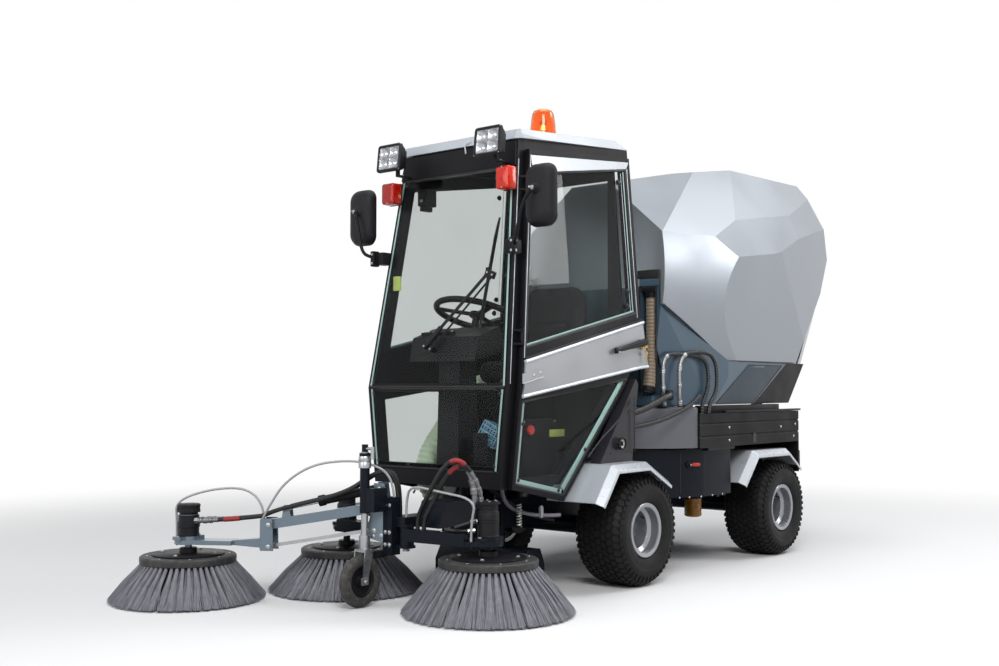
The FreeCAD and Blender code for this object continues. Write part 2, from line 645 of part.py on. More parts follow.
def drum_shroud():
    """Light grey cover, round about the steering pivot, with a slanted joint to the housing"""
    band = turned([(DRUM_R - 8, HOUSING_BOTTOM_Z + 2), (DRUM_R, HOUSING_BOTTOM_Z + 2), (DRUM_R, DRUM_TOP_Z - 8),
                   (DRUM_R - 14, DRUM_TOP_Z), (0, DRUM_TOP_Z), (0, DRUM_TOP_Z - 8), (DRUM_R - 8, DRUM_TOP_Z - 14)],
                  (0, PIVOT_Y, 0), (0, 0, 1))
    band = cut(band, box(-BIG, BIG, HOUSING_FRONT_Y, BIG, 0, BIG))
    band = cut(band, box(HOUSING_X - 8, BIG, -BIG, BIG, 0, BIG), box(-BIG, 8 - HOUSING_X, -BIG, BIG, 0, BIG))
    return band


def engine_cover():
    """Black housing band around the engine, open below, with a deck on top"""
    shell = cut(box(-HOUSING_X, HOUSING_X, HOUSING_FRONT_Y, HOUSING_REAR_Y, HOUSING_BOTTOM_Z, HOUSING_TOP_Z),
                box(-HOUSING_X + HOUSING_T, HOUSING_X - HOUSING_T, HOUSING_FRONT_Y + HOUSING_T,
                    HOUSING_REAR_Y - HOUSING_T, 0, HOUSING_TOP_Z - HOUSING_T))
    for side in (-1, 1):
        for z in (HOUSING_BOTTOM_Z + 46, HOUSING_BOTTOM_Z + 108):
            shell = shell.cut(profile_y([(side * (HOUSING_X + 1), z), (side * (HOUSING_X + 1), z + 16),
                                         (side * (HOUSING_X - 5), z + 8)], HOUSING_FRONT_Y - 1, HOUSING_REAR_Y + 1))
    tail = box(-HOUSING_X, HOUSING_X, HOUSING_REAR_Y - HOUSING_T, HOUSING_REAR_Y, 430, HOUSING_BOTTOM_Z)
    beam_hole = box(-160, 160, HOUSING_REAR_Y - 40, HOUSING_REAR_Y + 40, 250, 410)
    return fused(shell, cut(tail, beam_hole))


def side_skirts():
    """Dark panels below the housing: round at the pivot, then slanting out to the fender"""
    band = turned([(SKIRT_R - SKIRT_T, SKIRT_BOTTOM_Z), (SKIRT_R, SKIRT_BOTTOM_Z), (SKIRT_R, SKIRT_TOP_Z),
                   (SKIRT_R - SKIRT_T, SKIRT_TOP_Z)], (0, PIVOT_Y, 0), (0, 0, 1))
    shallow = box(SKIRT_IN_X, SKIRT_STEP_X, -BIG, 560, BEAM_TOP_Z + 15, BIG)
    arc = band.common(fused(shallow, box(SKIRT_STEP_X, 600, -BIG, 560, 0, BIG)))
    seam_x = math.sqrt(SKIRT_R ** 2 - (560 - PIVOT_Y) ** 2)
    panel = profile_z([(seam_x, 560), (seam_x - SKIRT_T, 560), (489 - SKIRT_T, SKIRT_REAR_Y), (489, SKIRT_REAR_Y)],
                      SKIRT_BOTTOM_Z, SKIRT_TOP_Z)
    lip = box(seam_x - 40, HOUSING_X - 6, 560, SKIRT_REAR_Y, SKIRT_TOP_Z - 8, HOUSING_BOTTOM_Z)
    return pair(fused(arc, panel, lip))


def engine_block():
    return box(-ENGINE_X, ENGINE_X, ENGINE_Y0, ENGINE_Y1, BEAM_TOP_Z, ENGINE_TOP_Z)


def tail_lamps():
    y = HOUSING_REAR_Y
    return pair(fused(box(462, 520, y, y + 14, 438, 545), box(468, 514, y + 14, y + 26, 444, 539)))


def oil_filter():
    return fused(bar((300, 772, 232), (300, 772, 330), 44), bar((300, 780, 328), (300, 780, 340), 20))


def service_hoses():
    """Two hydraulic lines that rise in front of the hopper and loop back to the housing"""
    inner = hose([(405, 335, DRUM_TOP_Z), (405, 335, 816), (430, 285, 866), (430, 285, 1046), (455, 400, 1050),
                  (494, 585, 1040), (500, 600, 900), (484, 550, 800), (484, 550, HOUSING_TOP_Z)], SERVICE_HOSE_R)
    outer = hose([(450, 405, DRUM_TOP_Z), (450, 405, 814), (460, 385, 850), (460, 385, 1040), (484, 500, 1066),
                  (518, 630, 1050), (522, 645, 880), (504, 580, 800), (504, 580, HOUSING_TOP_Z)], SERVICE_HOSE_R)
    return group(inner, outer)


# Hopper: facet corners of the left side, mirrored for the right

HOPPER_RISE = 1279.0
CREST_X = 260.0
CREST_Y = 1261.0


def off(corner, x, y, z):
    """Corner set off from another one"""
    return (corner[0] + x, corner[1] + y, corner[2] + z)


J_CREST = (CREST_X, CREST_Y, HOPPER_BASE_Z + HOPPER_RISE)
K_CREST = off(J_CREST, -60, -513, -82)
L_CREST = off(K_CREST, -40, -213, -47)
M_SHOULDER = off(J_CREST, 195, -303, -324)
R_SHOULDER = off(M_SHOULDER, -15, 319, 60)
B_FRONT = off(M_SHOULDER, -25, -668, -123)
N_WAIST = off(M_SHOULDER, 83, -112, -208)
O_WAIST = off(N_WAIST, -6, 433, 93)
H_REAR = off(J_CREST, 105, 745, -81)
G_REAR = off(H_REAR, 75, 41, -184)
D_LOW = (480, 1587, SEAM_REAR_Z)
E_LOW = off(D_LOW, 0, 104, 130)
P_LOW = off(D_LOW, 45, -647, 109)
FLAP_FOOT = (1592, 797)
FLAP_SLOPE = 0.62
REAR_BROW = 0.3165
FRONT_LEAN = 0.06
SEAM = [(269, SEAM_FRONT_Z), (797, SEAM_REAR_Z)]
FRONT_STEP_X = 426.0
FRONT_STEP_Y = 330.0
FRONT_STEP_Z = 1372.0
BASE_FRONT_Y = 272.0
T_BASE = (430, 285, 1252)
W_BASE = (480, 640, 803)
Q_BASE = (370, 268, 803)
RECESS_X0 = 318.0
RECESS_X1 = 405.0
RECESS_Y = 335.0
RECESS_Z = 850.0
RECESS_TOP_Z = 1368.0
FLAP_Z0 = 880.0
FLAP_Z1 = 1560.0
FLAP_X = 420.0
FLAP_PIN_Z = 1590.0
FLAP_PIN_Y = 2104.0
FLAP_PIN_R = 5.0


def carved(form, planes, inset):
    """Cut a form by planes moved in by an inset, each also mirrored to the right"""
    for point, normal in planes:
        normal.normalize()
        block = beyond(V(*point) - normal * inset, normal)
        form = form.cut(block).cut(mirrored(block))
    return form


def hopper_form(inset):
    """Faceted hopper body with every face moved in by an inset"""
    form = box(-BIG, BIG, -BIG, BIG, HOPPER_BASE_Z, J_CREST[2] - inset)
    run = V(BULGE_SLOPE, 1, 0)
    run.normalize()
    start = V(BULGE_X, BULGE_Y, BULGE_Z) - V(run.y, -run.x, 0) * BULGE_R - run * BIG
    bulge = Part.makeCylinder(BULGE_R - inset, 2 * BIG, start, run)
    form = form.common(bulge).common(mirrored(bulge))
    facets = [(J_CREST, M_SHOULDER, B_FRONT), (J_CREST, H_REAR, M_SHOULDER), (M_SHOULDER, R_SHOULDER, N_WAIST),
              (H_REAR, G_REAR, O_WAIST), (N_WAIST, O_WAIST, E_LOW), (O_WAIST, G_REAR, E_LOW),
              (P_LOW, E_LOW, D_LOW), (K_CREST, L_CREST, B_FRONT)]
    planes = [(corners[0], facet_normal(*corners)) for corners in facets]
    planes.append((L_CREST, V(0, L_CREST[2] - K_CREST[2], K_CREST[1] - L_CREST[1])))
    planes.append((J_CREST, V(0, K_CREST[2] - J_CREST[2], J_CREST[1] - K_CREST[1])))
    planes.append((H_REAR, V(0, 1, REAR_BROW)))
    planes.append((B_FRONT, V(0, -1, FRONT_LEAN)))
    planes.append(((0,) + FLAP_FOOT, V(0, 1, -FLAP_SLOPE)))
    planes.append((E_LOW, (V(*E_LOW) - V(*D_LOW)).cross(V(0.43, -0.9, -0.04))))
    return carved(form, planes, inset)


def above_seam():
    """Region of the silver shell, which steps up across the front face"""
    side = profile_x([(-BIG, SEAM[0][1]), SEAM[0], SEAM[1], (BIG, SEAM[1][1]), (BIG, BIG), (-BIG, BIG)], -BIG, BIG)
    return side.cut(box(-FRONT_STEP_X, FRONT_STEP_X, -BIG, FRONT_STEP_Y, 0, FRONT_STEP_Z))


def flap_opening():
    """Block through the slanted rear wall where the flap closes it"""
    z0 = FLAP_Z0 + 30
    z1 = FLAP_Z1 - 40
    return profile_x([(flap_y(z0) - 80, z0), (flap_y(z1) - 80, z1), (flap_y(z1) + 80, z1), (flap_y(z0) + 80, z0)],
                     -FLAP_X + 40, FLAP_X - 40)


def flap_y(z):
    """Rear wall of the hopper at a height"""
    return FLAP_FOOT[0] + FLAP_SLOPE * (z - FLAP_FOOT[1])


def hopper_shell(inner):
    shell = hopper_form(0).common(above_seam()).cut(inner).cut(flap_opening())
    lugs = []
    for x in (-250, 250):
        for side in (-1, 1):
            x0 = x + side * 22 - 5
            lugs.append(box(x0, x0 + 10, flap_y(FLAP_PIN_Z) - 6, FLAP_PIN_Y, FLAP_PIN_Z - 11, FLAP_PIN_Z + 11))
            lugs.append(bar((x0, FLAP_PIN_Y, FLAP_PIN_Z), (x0 + 10, FLAP_PIN_Y, FLAP_PIN_Z), 11))
        lugs.append(bar((x - 27, FLAP_PIN_Y, FLAP_PIN_Z), (x + 27, FLAP_PIN_Y, FLAP_PIN_Z), FLAP_PIN_R))
    return fused(shell, *lugs)


def base_form(inset):
    """Base under the shell: tapering sides, a cut-back front corner and a slanted tail"""
    beyond_rear = G_REAR[1] + 253
    form = box(-BIG, BIG, BASE_FRONT_Y + inset, beyond_rear, HOPPER_BASE_Z + inset, FRONT_STEP_Z)
    planes = [((430, 268, 803), V(1, -0.134, 0)), ((500, 790, 803), V(1, 0.023, 0)), ((495, 1010, 803), V(1, 0.05, 0)),
              (T_BASE, facet_normal(T_BASE, W_BASE, Q_BASE)),
              ((500, 1008, 1021), V(1, 0.0589, -0.1685)), ((0,) + FLAP_FOOT, V(0, 1, -FLAP_SLOPE))]
    return carved(form, planes, inset)


def tail_split():
    return beyond((0, 1135, HOPPER_BASE_Z), (0, 0.52, -0.85))


def base_cavity():
    """Inside of the base, kept clear of the hose recess"""
    walls = box(RECESS_X0 - 8, 700, 0, RECESS_Y + 10, RECESS_Z - 10, BIG)
    return base_form(HOPPER_T).cut(walls)


def hopper_base():
    """Blue-grey lower part up to the seam, with the hose recess at its front left"""
    recess = box(RECESS_X0, RECESS_X1, 200, RECESS_Y, RECESS_Z, RECESS_TOP_Z)
    return cut(base_form(0), above_seam(), base_cavity(), recess, flap_opening(), tail_split())


def hopper_tail():
    """Black rear foot with the tipping hinge eyes"""
    solid = cut(base_form(0), above_seam(), base_cavity(), flap_opening()).common(tail_split())
    eye = fused(bar((232, TIP_PIN_Y, TIP_PIN_Z), (256, TIP_PIN_Y, TIP_PIN_Z), 24),
                box(232, 256, TIP_PIN_Y - 60, TIP_PIN_Y, TIP_PIN_Z - 10, HOPPER_BASE_Z + 12))
    eye = eye.cut(bar((200, TIP_PIN_Y, TIP_PIN_Z), (300, TIP_PIN_Y, TIP_PIN_Z), TIP_PIN_R + RUNNING_FIT))
    eye = eye.cut(beyond((0, flap_y(HOPPER_BASE_Z) + 30, HOPPER_BASE_Z), (0, 1, -FLAP_SLOPE)))
    return fused(solid, eye, mirrored(eye))


def hopper_hose():
    """Air hose standing in the recess, with its black cap"""
    cap = box(RECESS_X0 + 2, RECESS_X1 - 2, RECESS_Y - 70, RECESS_Y - 2, RECESS_TOP_Z - 24, RECESS_TOP_Z)
    line = hose([(362, 302, RECESS_TOP_Z - 24), (362, 302, 1120), (362, 286, 960), (362, 262, 870)], 30)
    return group(line, cap)


def hopper_door():
    """Rear flap on the slanted opening, hinged at its top edge"""
    y0 = flap_y(FLAP_Z0) + 7
    y1 = flap_y(FLAP_Z1) + 7
    flap = profile_x([(y0, FLAP_Z0), (y1, FLAP_Z1), (y1 + 22, FLAP_Z1 - 12), (y0 + 22, FLAP_Z0 - 12)], -FLAP_X, FLAP_X)
    straps = []
    for x in (-250, 250):
        straps.append(bar((x - 16, FLAP_PIN_Y, FLAP_PIN_Z), (x + 16, FLAP_PIN_Y, FLAP_PIN_Z), 11))
        straps.append(profile_x([(y1 + 6, FLAP_Z1 - 20), (FLAP_PIN_Y - 9, FLAP_PIN_Z + 6), (FLAP_PIN_Y + 9, FLAP_PIN_Z - 6),
                                 (y1 + 14, FLAP_Z1 - 30)], x - 16, x + 16))
    bore = bar((-400, FLAP_PIN_Y, FLAP_PIN_Z), (400, FLAP_PIN_Y, FLAP_PIN_Z), FLAP_PIN_R + RUNNING_FIT)
    return cut(fused(flap, *straps), bore)


# Sweeping gear

def sweeper_frame():
    """Lift frame: hinge tube, centre beam, arm lugs, post, duct cover and the caster's tube"""
    tube = bar((-99.5, LIFT_PIN_Y, LIFT_PIN_Z), (99.5, LIFT_PIN_Y, LIFT_PIN_Z), 20)
    beam = fused(box(-40, 40, POST_Y, LIFT_PIN_Y, 322, 342), box(-45, 45, POST_Y, -640, 322, LIFT_BEAM_TOP))
    bore = bar((-130, LIFT_PIN_Y, LIFT_PIN_Z), (130, LIFT_PIN_Y, LIFT_PIN_Z), LIFT_PIN_R + RUNNING_FIT)
    post = box(POST_X - 25, POST_X + 25, POST_Y - 25, POST_Y + 25, 208, 441)
    web = box(-52, -8, POST_Y, -950, 236, 330)
    lugs = [web]
    for (x, y), x0, x1 in ((LEFT_ARM_PIN, -30, 58), (RIGHT_ARM_PIN, -118, -10)):
        lugs += [box(x0, x1, y - 26, y + 26, z, z + 12) for z in (236, 322)]
        lugs.append(bar((x, y, 236), (x, y, ARM_PIN_TOP), ARM_PIN_R))
    cover = profile_x([(-1000, 322), (-960, 425), (-800, 425), (-680, 362), (-680, 322)], 45, 180)
    step_y = CASTER_Y - 10
    gusset = fused(box(-60, -35, step_y, POST_Y - 20, 385, 480), box(-95, -35, step_y, CASTER_Y + 17, 385, 480))
    column = bar((CASTER_X, CASTER_Y, 378), (CASTER_X, CASTER_Y, 577), 20)
    stem_bore = bar((CASTER_X, CASTER_Y, 300), (CASTER_X, CASTER_Y, 560), 14 + RUNNING_FIT)
    cap = fused(bar((CASTER_X, CASTER_Y, 577), (CASTER_X, CASTER_Y, 622), 23),
                bar((CASTER_X, CASTER_Y, 622), (CASTER_X, CASTER_Y, 657), 13),
                bar((CASTER_X, CASTER_Y, 640), (CASTER_X + 45, CASTER_Y, 640), 5),
                bar((CASTER_X + 45, CASTER_Y, 645), (CASTER_X + 45, CASTER_Y, 600), 7))
    frame = fused(cut(fused(tube, beam), bore), post, cover, gusset, column, cap, *lugs)
    return frame.cut(stem_bore)


def arm(pin, brush, foot_r):
    """Side-brush arm from its pin to the motor's foot plate"""
    px, py = pin
    bx, by = brush
    side = 1 if bx > px else -1
    bend_x = bx - side * 55
    bend_y = by - 78
    boss = bar((px, py, 249), (px, py, ARM_BOSS_TOP), 27)
    beam = profile_z([(px, py - 20), (px, py + 20), (bend_x - side * 12, bend_y + 20), (bend_x + side * 14, bend_y - 22)],
                     ARM_Z, ARM_Z + ARM_H)
    foot = profile_z([(bend_x - side * 28, bend_y - 6), (bend_x + side * 22, bend_y - 24), (bx + side * 40, by - 20),
                      (bx - side * 52, by + 30)], ARM_Z, MOTOR_FOOT_Z)
    plate = bar((bx, by, ARM_Z), (bx, by, MOTOR_FOOT_Z), foot_r)
    bore = bar((px, py, 200), (px, py, 400), ARM_PIN_R + RUNNING_FIT)
    return fused(boss, beam, foot, plate).cut(bore)


def motor(centre, foot_z, top_z, ring_z):
    """Hydraulic brush motor with the drive shaft below it"""
    x, y = centre
    return fused(bar((x, y, foot_z), (x, y, top_z - 30), MOTOR_R), bar((x, y, top_z - 30), (x, y, top_z), MOTOR_R - 5),
                 box(x - 26, x + 26, y - 62, y + 62, foot_z, foot_z + 14),
                 bar((x, y, ring_z + BRUSH_RING_T / 2 - 8), (x, y, foot_z), BRUSH_SHAFT_R))


def brush(centre, tip_r, ring_z):
    """Steel disc and ring with a cone of bristles standing out below it"""
    x, y = centre
    top = ring_z + BRUSH_RING_T / 2
    bottom = ring_z - BRUSH_RING_T / 2
    bore = BRUSH_SHAFT_R + RUNNING_FIT
    return turned([(bore, top + 30), (36, top + 30), (40, top + 8), (150, top + 8), (150, top), (BRUSH_RING_R, top),
                   (BRUSH_RING_R, bottom), (tip_r, BRUSH_TIP_Z), (tip_r - 60, BRUSH_TIP_Z), (130, bottom),
                   (130, top - 8), (bore, top - 8)], (x, y, 0), (0, 0, 1))


def left_hoses():
    """Motor lines that rise to their quick couplings and run back along the arm"""
    x, y = LEFT_BRUSH
    hose_end = ARM_Z + ARM_H + SEAT_GAP
    lines = [hose([(x - 52, y + 8, 392), (x - 54, y + 30, 452), (x - 50, y - 84, 604), (x - 120, y - 118, 600),
                   (x - 235, y - 122, 430), (x - 286, y - 106, 365), (x - 286, y - 106, hose_end)], ARM_HOSE_R),
             hose([(x - 52, y - 24, 392), (x - 58, y - 10, 452), (x - 62, y - 50, 580), (x - 130, y - 84, 570),
                   (x - 225, y - 102, 400), (x - 258, y - 98, 352), (x - 258, y - 98, hose_end)], ARM_HOSE_R)]
    px, py = LEFT_ARM_PIN
    water = hose([(px, py, LIFT_BEAM_TOP + SEAT_GAP), (px, py, 430), (px + 40, py - 16, 494),
                  (x - 170, y - 112, 476), (x + 6, y - 82, 452), (x - 28, y - 72, 358),
                  (x - 28, y - 72, MOTOR_FOOT_Z + SEAT_GAP)], WATER_TUBE_R)
    return group(water, *lines)


def right_hoses():
    x, y = RIGHT_BRUSH
    hose_end = ARM_Z + ARM_H + SEAT_GAP
    lines = [hose([(x + 52, y + 10, 370), (x + 110, y + 4, 375), (x + 230, y - 60, 372), (x + 300, y - 66, 352),
                   (x + 300, y - 66, hose_end)], ARM_HOSE_R),
             hose([(x + 52, y - 20, 345), (x + 110, y - 30, 352), (x + 200, y - 80, 356), (x + 268, y - 84, 346),
                   (x + 268, y - 84, hose_end)], ARM_HOSE_R)]
    return group(*lines)


def third_hoses():
    """Motor lines back to the head of the third arm"""
    lines = [hose([along(THIRD_REACH - 42, 330, side), along(THIRD_REACH - 150, 335, side),
                   along(THIRD_REACH - 260, 345, side * 0.8), along(515, 352, side * 0.6)], ARM_HOSE_R)
             for side in (-18, 18)]
    water = hose([along(504, THIRD_WEB_TOP + SEAT_GAP), along(506, 400), along(580, 470), along(740, 462),
                  along(895, 410), along(THIRD_REACH + 52, 325),
                  along(THIRD_REACH + 52, THIRD_FOOT_TOP + SEAT_GAP)], WATER_TUBE_R)
    return group(water, *lines)


# Third brush linkage, laid out along its own direction in plan

THIRD_ROOT = (-90.0, -1060.0)
THIRD_REACH = math.hypot(THIRD_BRUSH[0] - THIRD_ROOT[0], THIRD_BRUSH[1] - THIRD_ROOT[1])
THIRD_DIR = ((THIRD_BRUSH[0] - THIRD_ROOT[0]) / THIRD_REACH, (THIRD_BRUSH[1] - THIRD_ROOT[1]) / THIRD_REACH)
ARM_REAR = (20.0, 395.0)
ARM_FRONT = (470.0, 320.0)
TIE_REAR = (20.0, 305.0)
TIE_FRONT = (470.0, 230.0)
RAM_REAR = (0.0, 475.0)
RAM_EYE = (400.0, 388.0)
LINK_PIN_R = 8.0


def along(s, z, side=0.0):
    """Point at a distance along the third arm, a height and an offset to its side"""
    return (THIRD_ROOT[0] + THIRD_DIR[0] * s - THIRD_DIR[1] * side,
            THIRD_ROOT[1] + THIRD_DIR[1] * s + THIRD_DIR[0] * side, z)


def link_plate(outline, side0, side1):
    """Plate with an (s, z) outline between two side offsets of the third arm"""
    face = closed_face([V(*along(s, z, side0)) for s, z in outline])
    across = V(*along(0, 0, side1)) - V(*along(0, 0, side0))
    return face.extrude(across)


def link_pin(place, side0, side1, radius):
    return bar(along(place[0], place[1], side0), along(place[0], place[1], side1), radius)


def third_bracket():
    outline = [(-30, 250), (45, 275), (45, 330), (25, 420), (22, 497), (-22, 497), (-35, 400)]
    plates = [link_plate(outline, side, side + 7) for side in (-38, 31)]
    web = link_plate([(-38, 262), (-30, 262), (-30, 420), (-38, 420)], -38, 38)
    pins = [link_pin(place, -42, 42, LINK_PIN_R) for place in (ARM_REAR, TIE_REAR, RAM_REAR)]
    return fused(web, *plates, *pins).cut(sweeper_frame())


def eye_bar(rear, front, half_w, half_h, boss_r):
    """Straight link with a bored boss at each end"""
    run = math.hypot(front[0] - rear[0], front[1] - rear[1])
    ux = (front[0] - rear[0]) / run
    uz = (front[1] - rear[1]) / run
    corners = [(rear[0] - uz * half_h, rear[1] + ux * half_h), (front[0] - uz * half_h, front[1] + ux * half_h),
               (front[0] + uz * half_h, front[1] - ux * half_h), (rear[0] + uz * half_h, rear[1] - ux * half_h)]
    body = link_plate(corners, -half_w, half_w)
    bosses = [link_pin(place, -half_w, half_w, boss_r) for place in (rear, front)]
    bores = [link_pin(place, -60, 60, LINK_PIN_R + RUNNING_FIT) for place in (rear, front)]
    return cut(fused(body, *bosses), *bores)


def third_arm():
    s, z = RAM_EYE
    lugs = [link_plate([(s - 22, 322), (s - 12, z + 12), (s + 12, z + 12), (s + 22, 322)], side, side + 6)
            for side in (-22, 16)]
    return fused(eye_bar(ARM_REAR, ARM_FRONT, 22, 20, 22), link_pin(RAM_EYE, -24, 24, LINK_PIN_R), *lugs)


def third_tie():
    return eye_bar(TIE_REAR, TIE_FRONT, 8, 7, 14)


def third_head():
    """Front block of the linkage with the plate that carries the motor"""
    block = [link_plate([(452, 212), (506, 212), (506, 345), (456, 345)], side, side + 7) for side in (-38, 31)]
    web = link_plate([(500, 214), (508, 214), (508, THIRD_WEB_TOP), (500, THIRD_WEB_TOP)], -38, 38)
    pins = [link_pin(place, -42, 42, LINK_PIN_R) for place in (ARM_FRONT, TIE_FRONT)]
    low = THIRD_FOOT_Z
    top = THIRD_FOOT_TOP
    reach = link_plate([(504, low - 10), (504, top + 12), (640, top), (640, low)], -22, 22)
    foot = link_plate([(630, low), (630, top), (THIRD_REACH, top), (THIRD_REACH, low)], -45, 45)
    plate = bar(along(THIRD_REACH, low), along(THIRD_REACH, top), 58)
    drive = motor(THIRD_BRUSH, top, 385, BRUSH_RING_Z + THIRD_LIFT)
    return fused(*block, web, *pins, reach, foot, plate, drive)


def ram_point(share):
    return tuple(RAM_REAR[i] + (RAM_EYE[i] - RAM_REAR[i]) * share for i in (0, 1))


def ram_barrel():
    start = along(*ram_point(0.03))
    end = along(*ram_point(0.66))
    body = bar(start, end, 19)
    neck = bar(along(*ram_point(0.60)), end, 23)
    eye = link_pin(RAM_REAR, -16, 16, 18)
    bore = link_pin(RAM_REAR, -60, 60, LINK_PIN_R + RUNNING_FIT)
    rod_bore = bar(along(*ram_point(0.2)), along(*ram_point(0.9)), 9 + RUNNING_FIT)
    return cut(fused(body, neck, eye), bore, rod_bore)


def ram_rod():
    body = bar(along(*ram_point(0.34)), along(*ram_point(0.985)), 9)
    eye = link_pin(RAM_EYE, -12, 12, 16)
    return cut(fused(body, eye), link_pin(RAM_EYE, -60, 60, LINK_PIN_R + RUNNING_FIT))


def caster_fork():
    axle_y = CASTER_Y - CASTER_TRAIL
    half = CASTER_W / 2 + 5
    stem = bar((CASTER_X, CASTER_Y, 232), (CASTER_X, CASTER_Y, 540), 14)
    collar = bar((CASTER_X, CASTER_Y, 232), (CASTER_X, CASTER_Y, 290), 21)
    crown = box(CASTER_X - half - 5, CASTER_X + half + 5, CASTER_Y - 25, CASTER_Y + 22, 222, 232)
    leg = profile_x([(CASTER_Y - 25, 232), (CASTER_Y + 22, 232), (axle_y + 14, CASTER_R), (axle_y, CASTER_R - 15),
                     (axle_y - 14, CASTER_R)], CASTER_X + half, CASTER_X + half + 5)
    other = leg.copy()
    other.translate(V(-2 * half - 5, 0, 0))
    axle_pin = bar((CASTER_X - half - 9, axle_y, CASTER_R), (CASTER_X + half + 9, axle_y, CASTER_R), CASTER_AXLE_R)
    return fused(stem, collar, crown, leg, other, axle_pin)


def caster_wheel():
    half = CASTER_W / 2
    bore = CASTER_AXLE_R + RUNNING_FIT
    return turned([(bore, -half + 2), (28, -half + 2), (30, -half + 12), (70, -half + 12), (74, -half + 4),
                   (CASTER_R - 8, -half), (CASTER_R, -half + 12), (CASTER_R, half - 12), (CASTER_R - 8, half),
                   (74, half - 4), (70, half - 12), (30, half - 12), (28, half - 2), (bore, half - 2)],
                  (CASTER_X, CASTER_Y - CASTER_TRAIL, CASTER_R), (1, 0, 0))


def build():
    parts = {}
    for name, y, side in (("front_left", 0, 1), ("front_right", 0, -1),
                          ("rear_left", WHEELBASE, 1), ("rear_right", WHEELBASE, -1)):
        parts["tyre_" + name] = tyre(y, side)
        parts["rim_" + name] = rim(y, side)
    parts["front_frame"] = front_frame()
    parts["front_fenders"] = front_fenders()
    parts["cab_front"] = cab_front()
    parts["cab_frame"] = cab_frame()
    parts["cab_glass"] = cab_glass()
    parts["cab_roof"] = cab_roof()
    parts["seat"] = seat()
    parts["steering_console"] = steering_console()
    parts["side_panels"] = side_panels()
    parts["beacon"] = beacon()
    parts["front_lamps"] = front_lamps()
    parts["mirrors"] = mirrors()
    parts["wiper"] = wiper()
    parts["suction_mouth"] = suction_mouth()
    parts["suction_hose"] = suction_hose()
    for side_name, flip in (("left", False), ("right", True)):
        for name, shape in (("frame", door_frame()), ("panel", door_panel()), ("glass", door_glass())):
            parts["door_" + side_name + "_" + name] = mirrored(shape) if flip else shape
    parts["rear_frame"] = rear_frame()
    parts["drum_shroud"] = drum_shroud()
    parts["engine_cover"] = engine_cover()
    parts["engine_block"] = engine_block()
    parts["side_skirts"] = side_skirts()
    parts["rear_fenders"] = rear_fenders()
    parts["tail_lamps"] = tail_lamps()
    parts["oil_filter"] = oil_filter()
    parts["service_hoses"] = service_hoses()
    parts["hopper_shell"] = hopper_shell(hopper_form(HOPPER_T))
    parts["hopper_base"] = hopper_base()
    parts["hopper_tail"] = hopper_tail()
    parts["hopper_hose"] = hopper_hose()
    parts["hopper_door"] = hopper_door()
    parts["sweeper_frame"] = sweeper_frame()
    parts["left_arm"] = fused(arm(LEFT_ARM_PIN, LEFT_BRUSH, 60),
                              motor(LEFT_BRUSH, MOTOR_FOOT_Z, MOTOR_TOP_Z, BRUSH_RING_Z))
    parts["right_arm"] = fused(arm(RIGHT_ARM_PIN, RIGHT_BRUSH, 60),
                               motor(RIGHT_BRUSH, MOTOR_FOOT_Z, MOTOR_TOP_Z - 25, BRUSH_RING_Z + THIRD_LIFT))
    parts["left_hoses"] = left_hoses()
    parts["right_hoses"] = right_hoses()
    parts["third_hoses"] = third_hoses()
    parts["brush_left"] = brush(LEFT_BRUSH, BRUSH_TIP_R, BRUSH_RING_Z)
    parts["brush_right"] = brush(RIGHT_BRUSH, BRUSH_TIP_R - 5, BRUSH_RING_Z + THIRD_LIFT)
    parts["brush_third"] = brush(THIRD_BRUSH, THIRD_TIP_R, BRUSH_RING_Z + THIRD_LIFT)
    parts["third_bracket"] = third_bracket()
    parts["third_arm"] = third_arm()
    parts["third_tie"] = third_tie()
    parts["third_head"] = third_head()
    parts["ram_barrel"] = ram_barrel()
    parts["ram_rod"] = ram_rod()
    parts["caster_fork"] = caster_fork()
    parts["caster_wheel"] = caster_wheel()
    return parts


def main():
    parts = build()
    whole = FreeCAD.BoundBox()
    for shape in parts.values():
        whole.add(shape.BoundBox)
    shift = V(-whole.Center.x, -whole.Center.y, -whole.ZMin)
    for name, shape in parts.items():
        shape.translate(shift)
        shape.exportStep("parts/" + name + ".step")
    print("moved by", shift)


main()
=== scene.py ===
import math
import random

import bmesh
import bpy
from mathutils import Matrix, Vector
from mathutils.bvhtree import BVHTree


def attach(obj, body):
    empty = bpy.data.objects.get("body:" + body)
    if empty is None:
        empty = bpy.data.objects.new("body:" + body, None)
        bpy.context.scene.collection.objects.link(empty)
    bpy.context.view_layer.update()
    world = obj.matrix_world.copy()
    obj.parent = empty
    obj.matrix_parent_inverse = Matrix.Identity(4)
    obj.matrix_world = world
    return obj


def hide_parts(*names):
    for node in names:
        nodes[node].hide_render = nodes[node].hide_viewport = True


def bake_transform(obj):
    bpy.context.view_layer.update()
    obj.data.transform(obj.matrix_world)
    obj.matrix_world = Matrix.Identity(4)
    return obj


# Looks of the articulated street sweeper. Sizes below are vehicle millimetres, with
# X to the machine's left, Y to its rear and Z up, as in the part's source.

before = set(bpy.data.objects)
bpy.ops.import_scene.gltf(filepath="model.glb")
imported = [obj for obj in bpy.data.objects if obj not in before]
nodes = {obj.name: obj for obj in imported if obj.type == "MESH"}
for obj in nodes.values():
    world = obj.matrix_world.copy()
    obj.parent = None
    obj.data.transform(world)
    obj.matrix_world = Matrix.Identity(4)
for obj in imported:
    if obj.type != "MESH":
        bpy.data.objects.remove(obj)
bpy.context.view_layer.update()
rng = random.Random(7)

SHIFT = Vector((199.5, -146.6826, 0.0))
TO_ROW = Matrix.Scale(0.001, 4) @ Matrix.Translation(SHIFT)
FROM_ROW = TO_ROW.inverted()
LEFT = (1, 0, 0)
BACK = (0, 1, 0)
AHEAD = (0, -1, 0)
UP = (0, 0, 1)


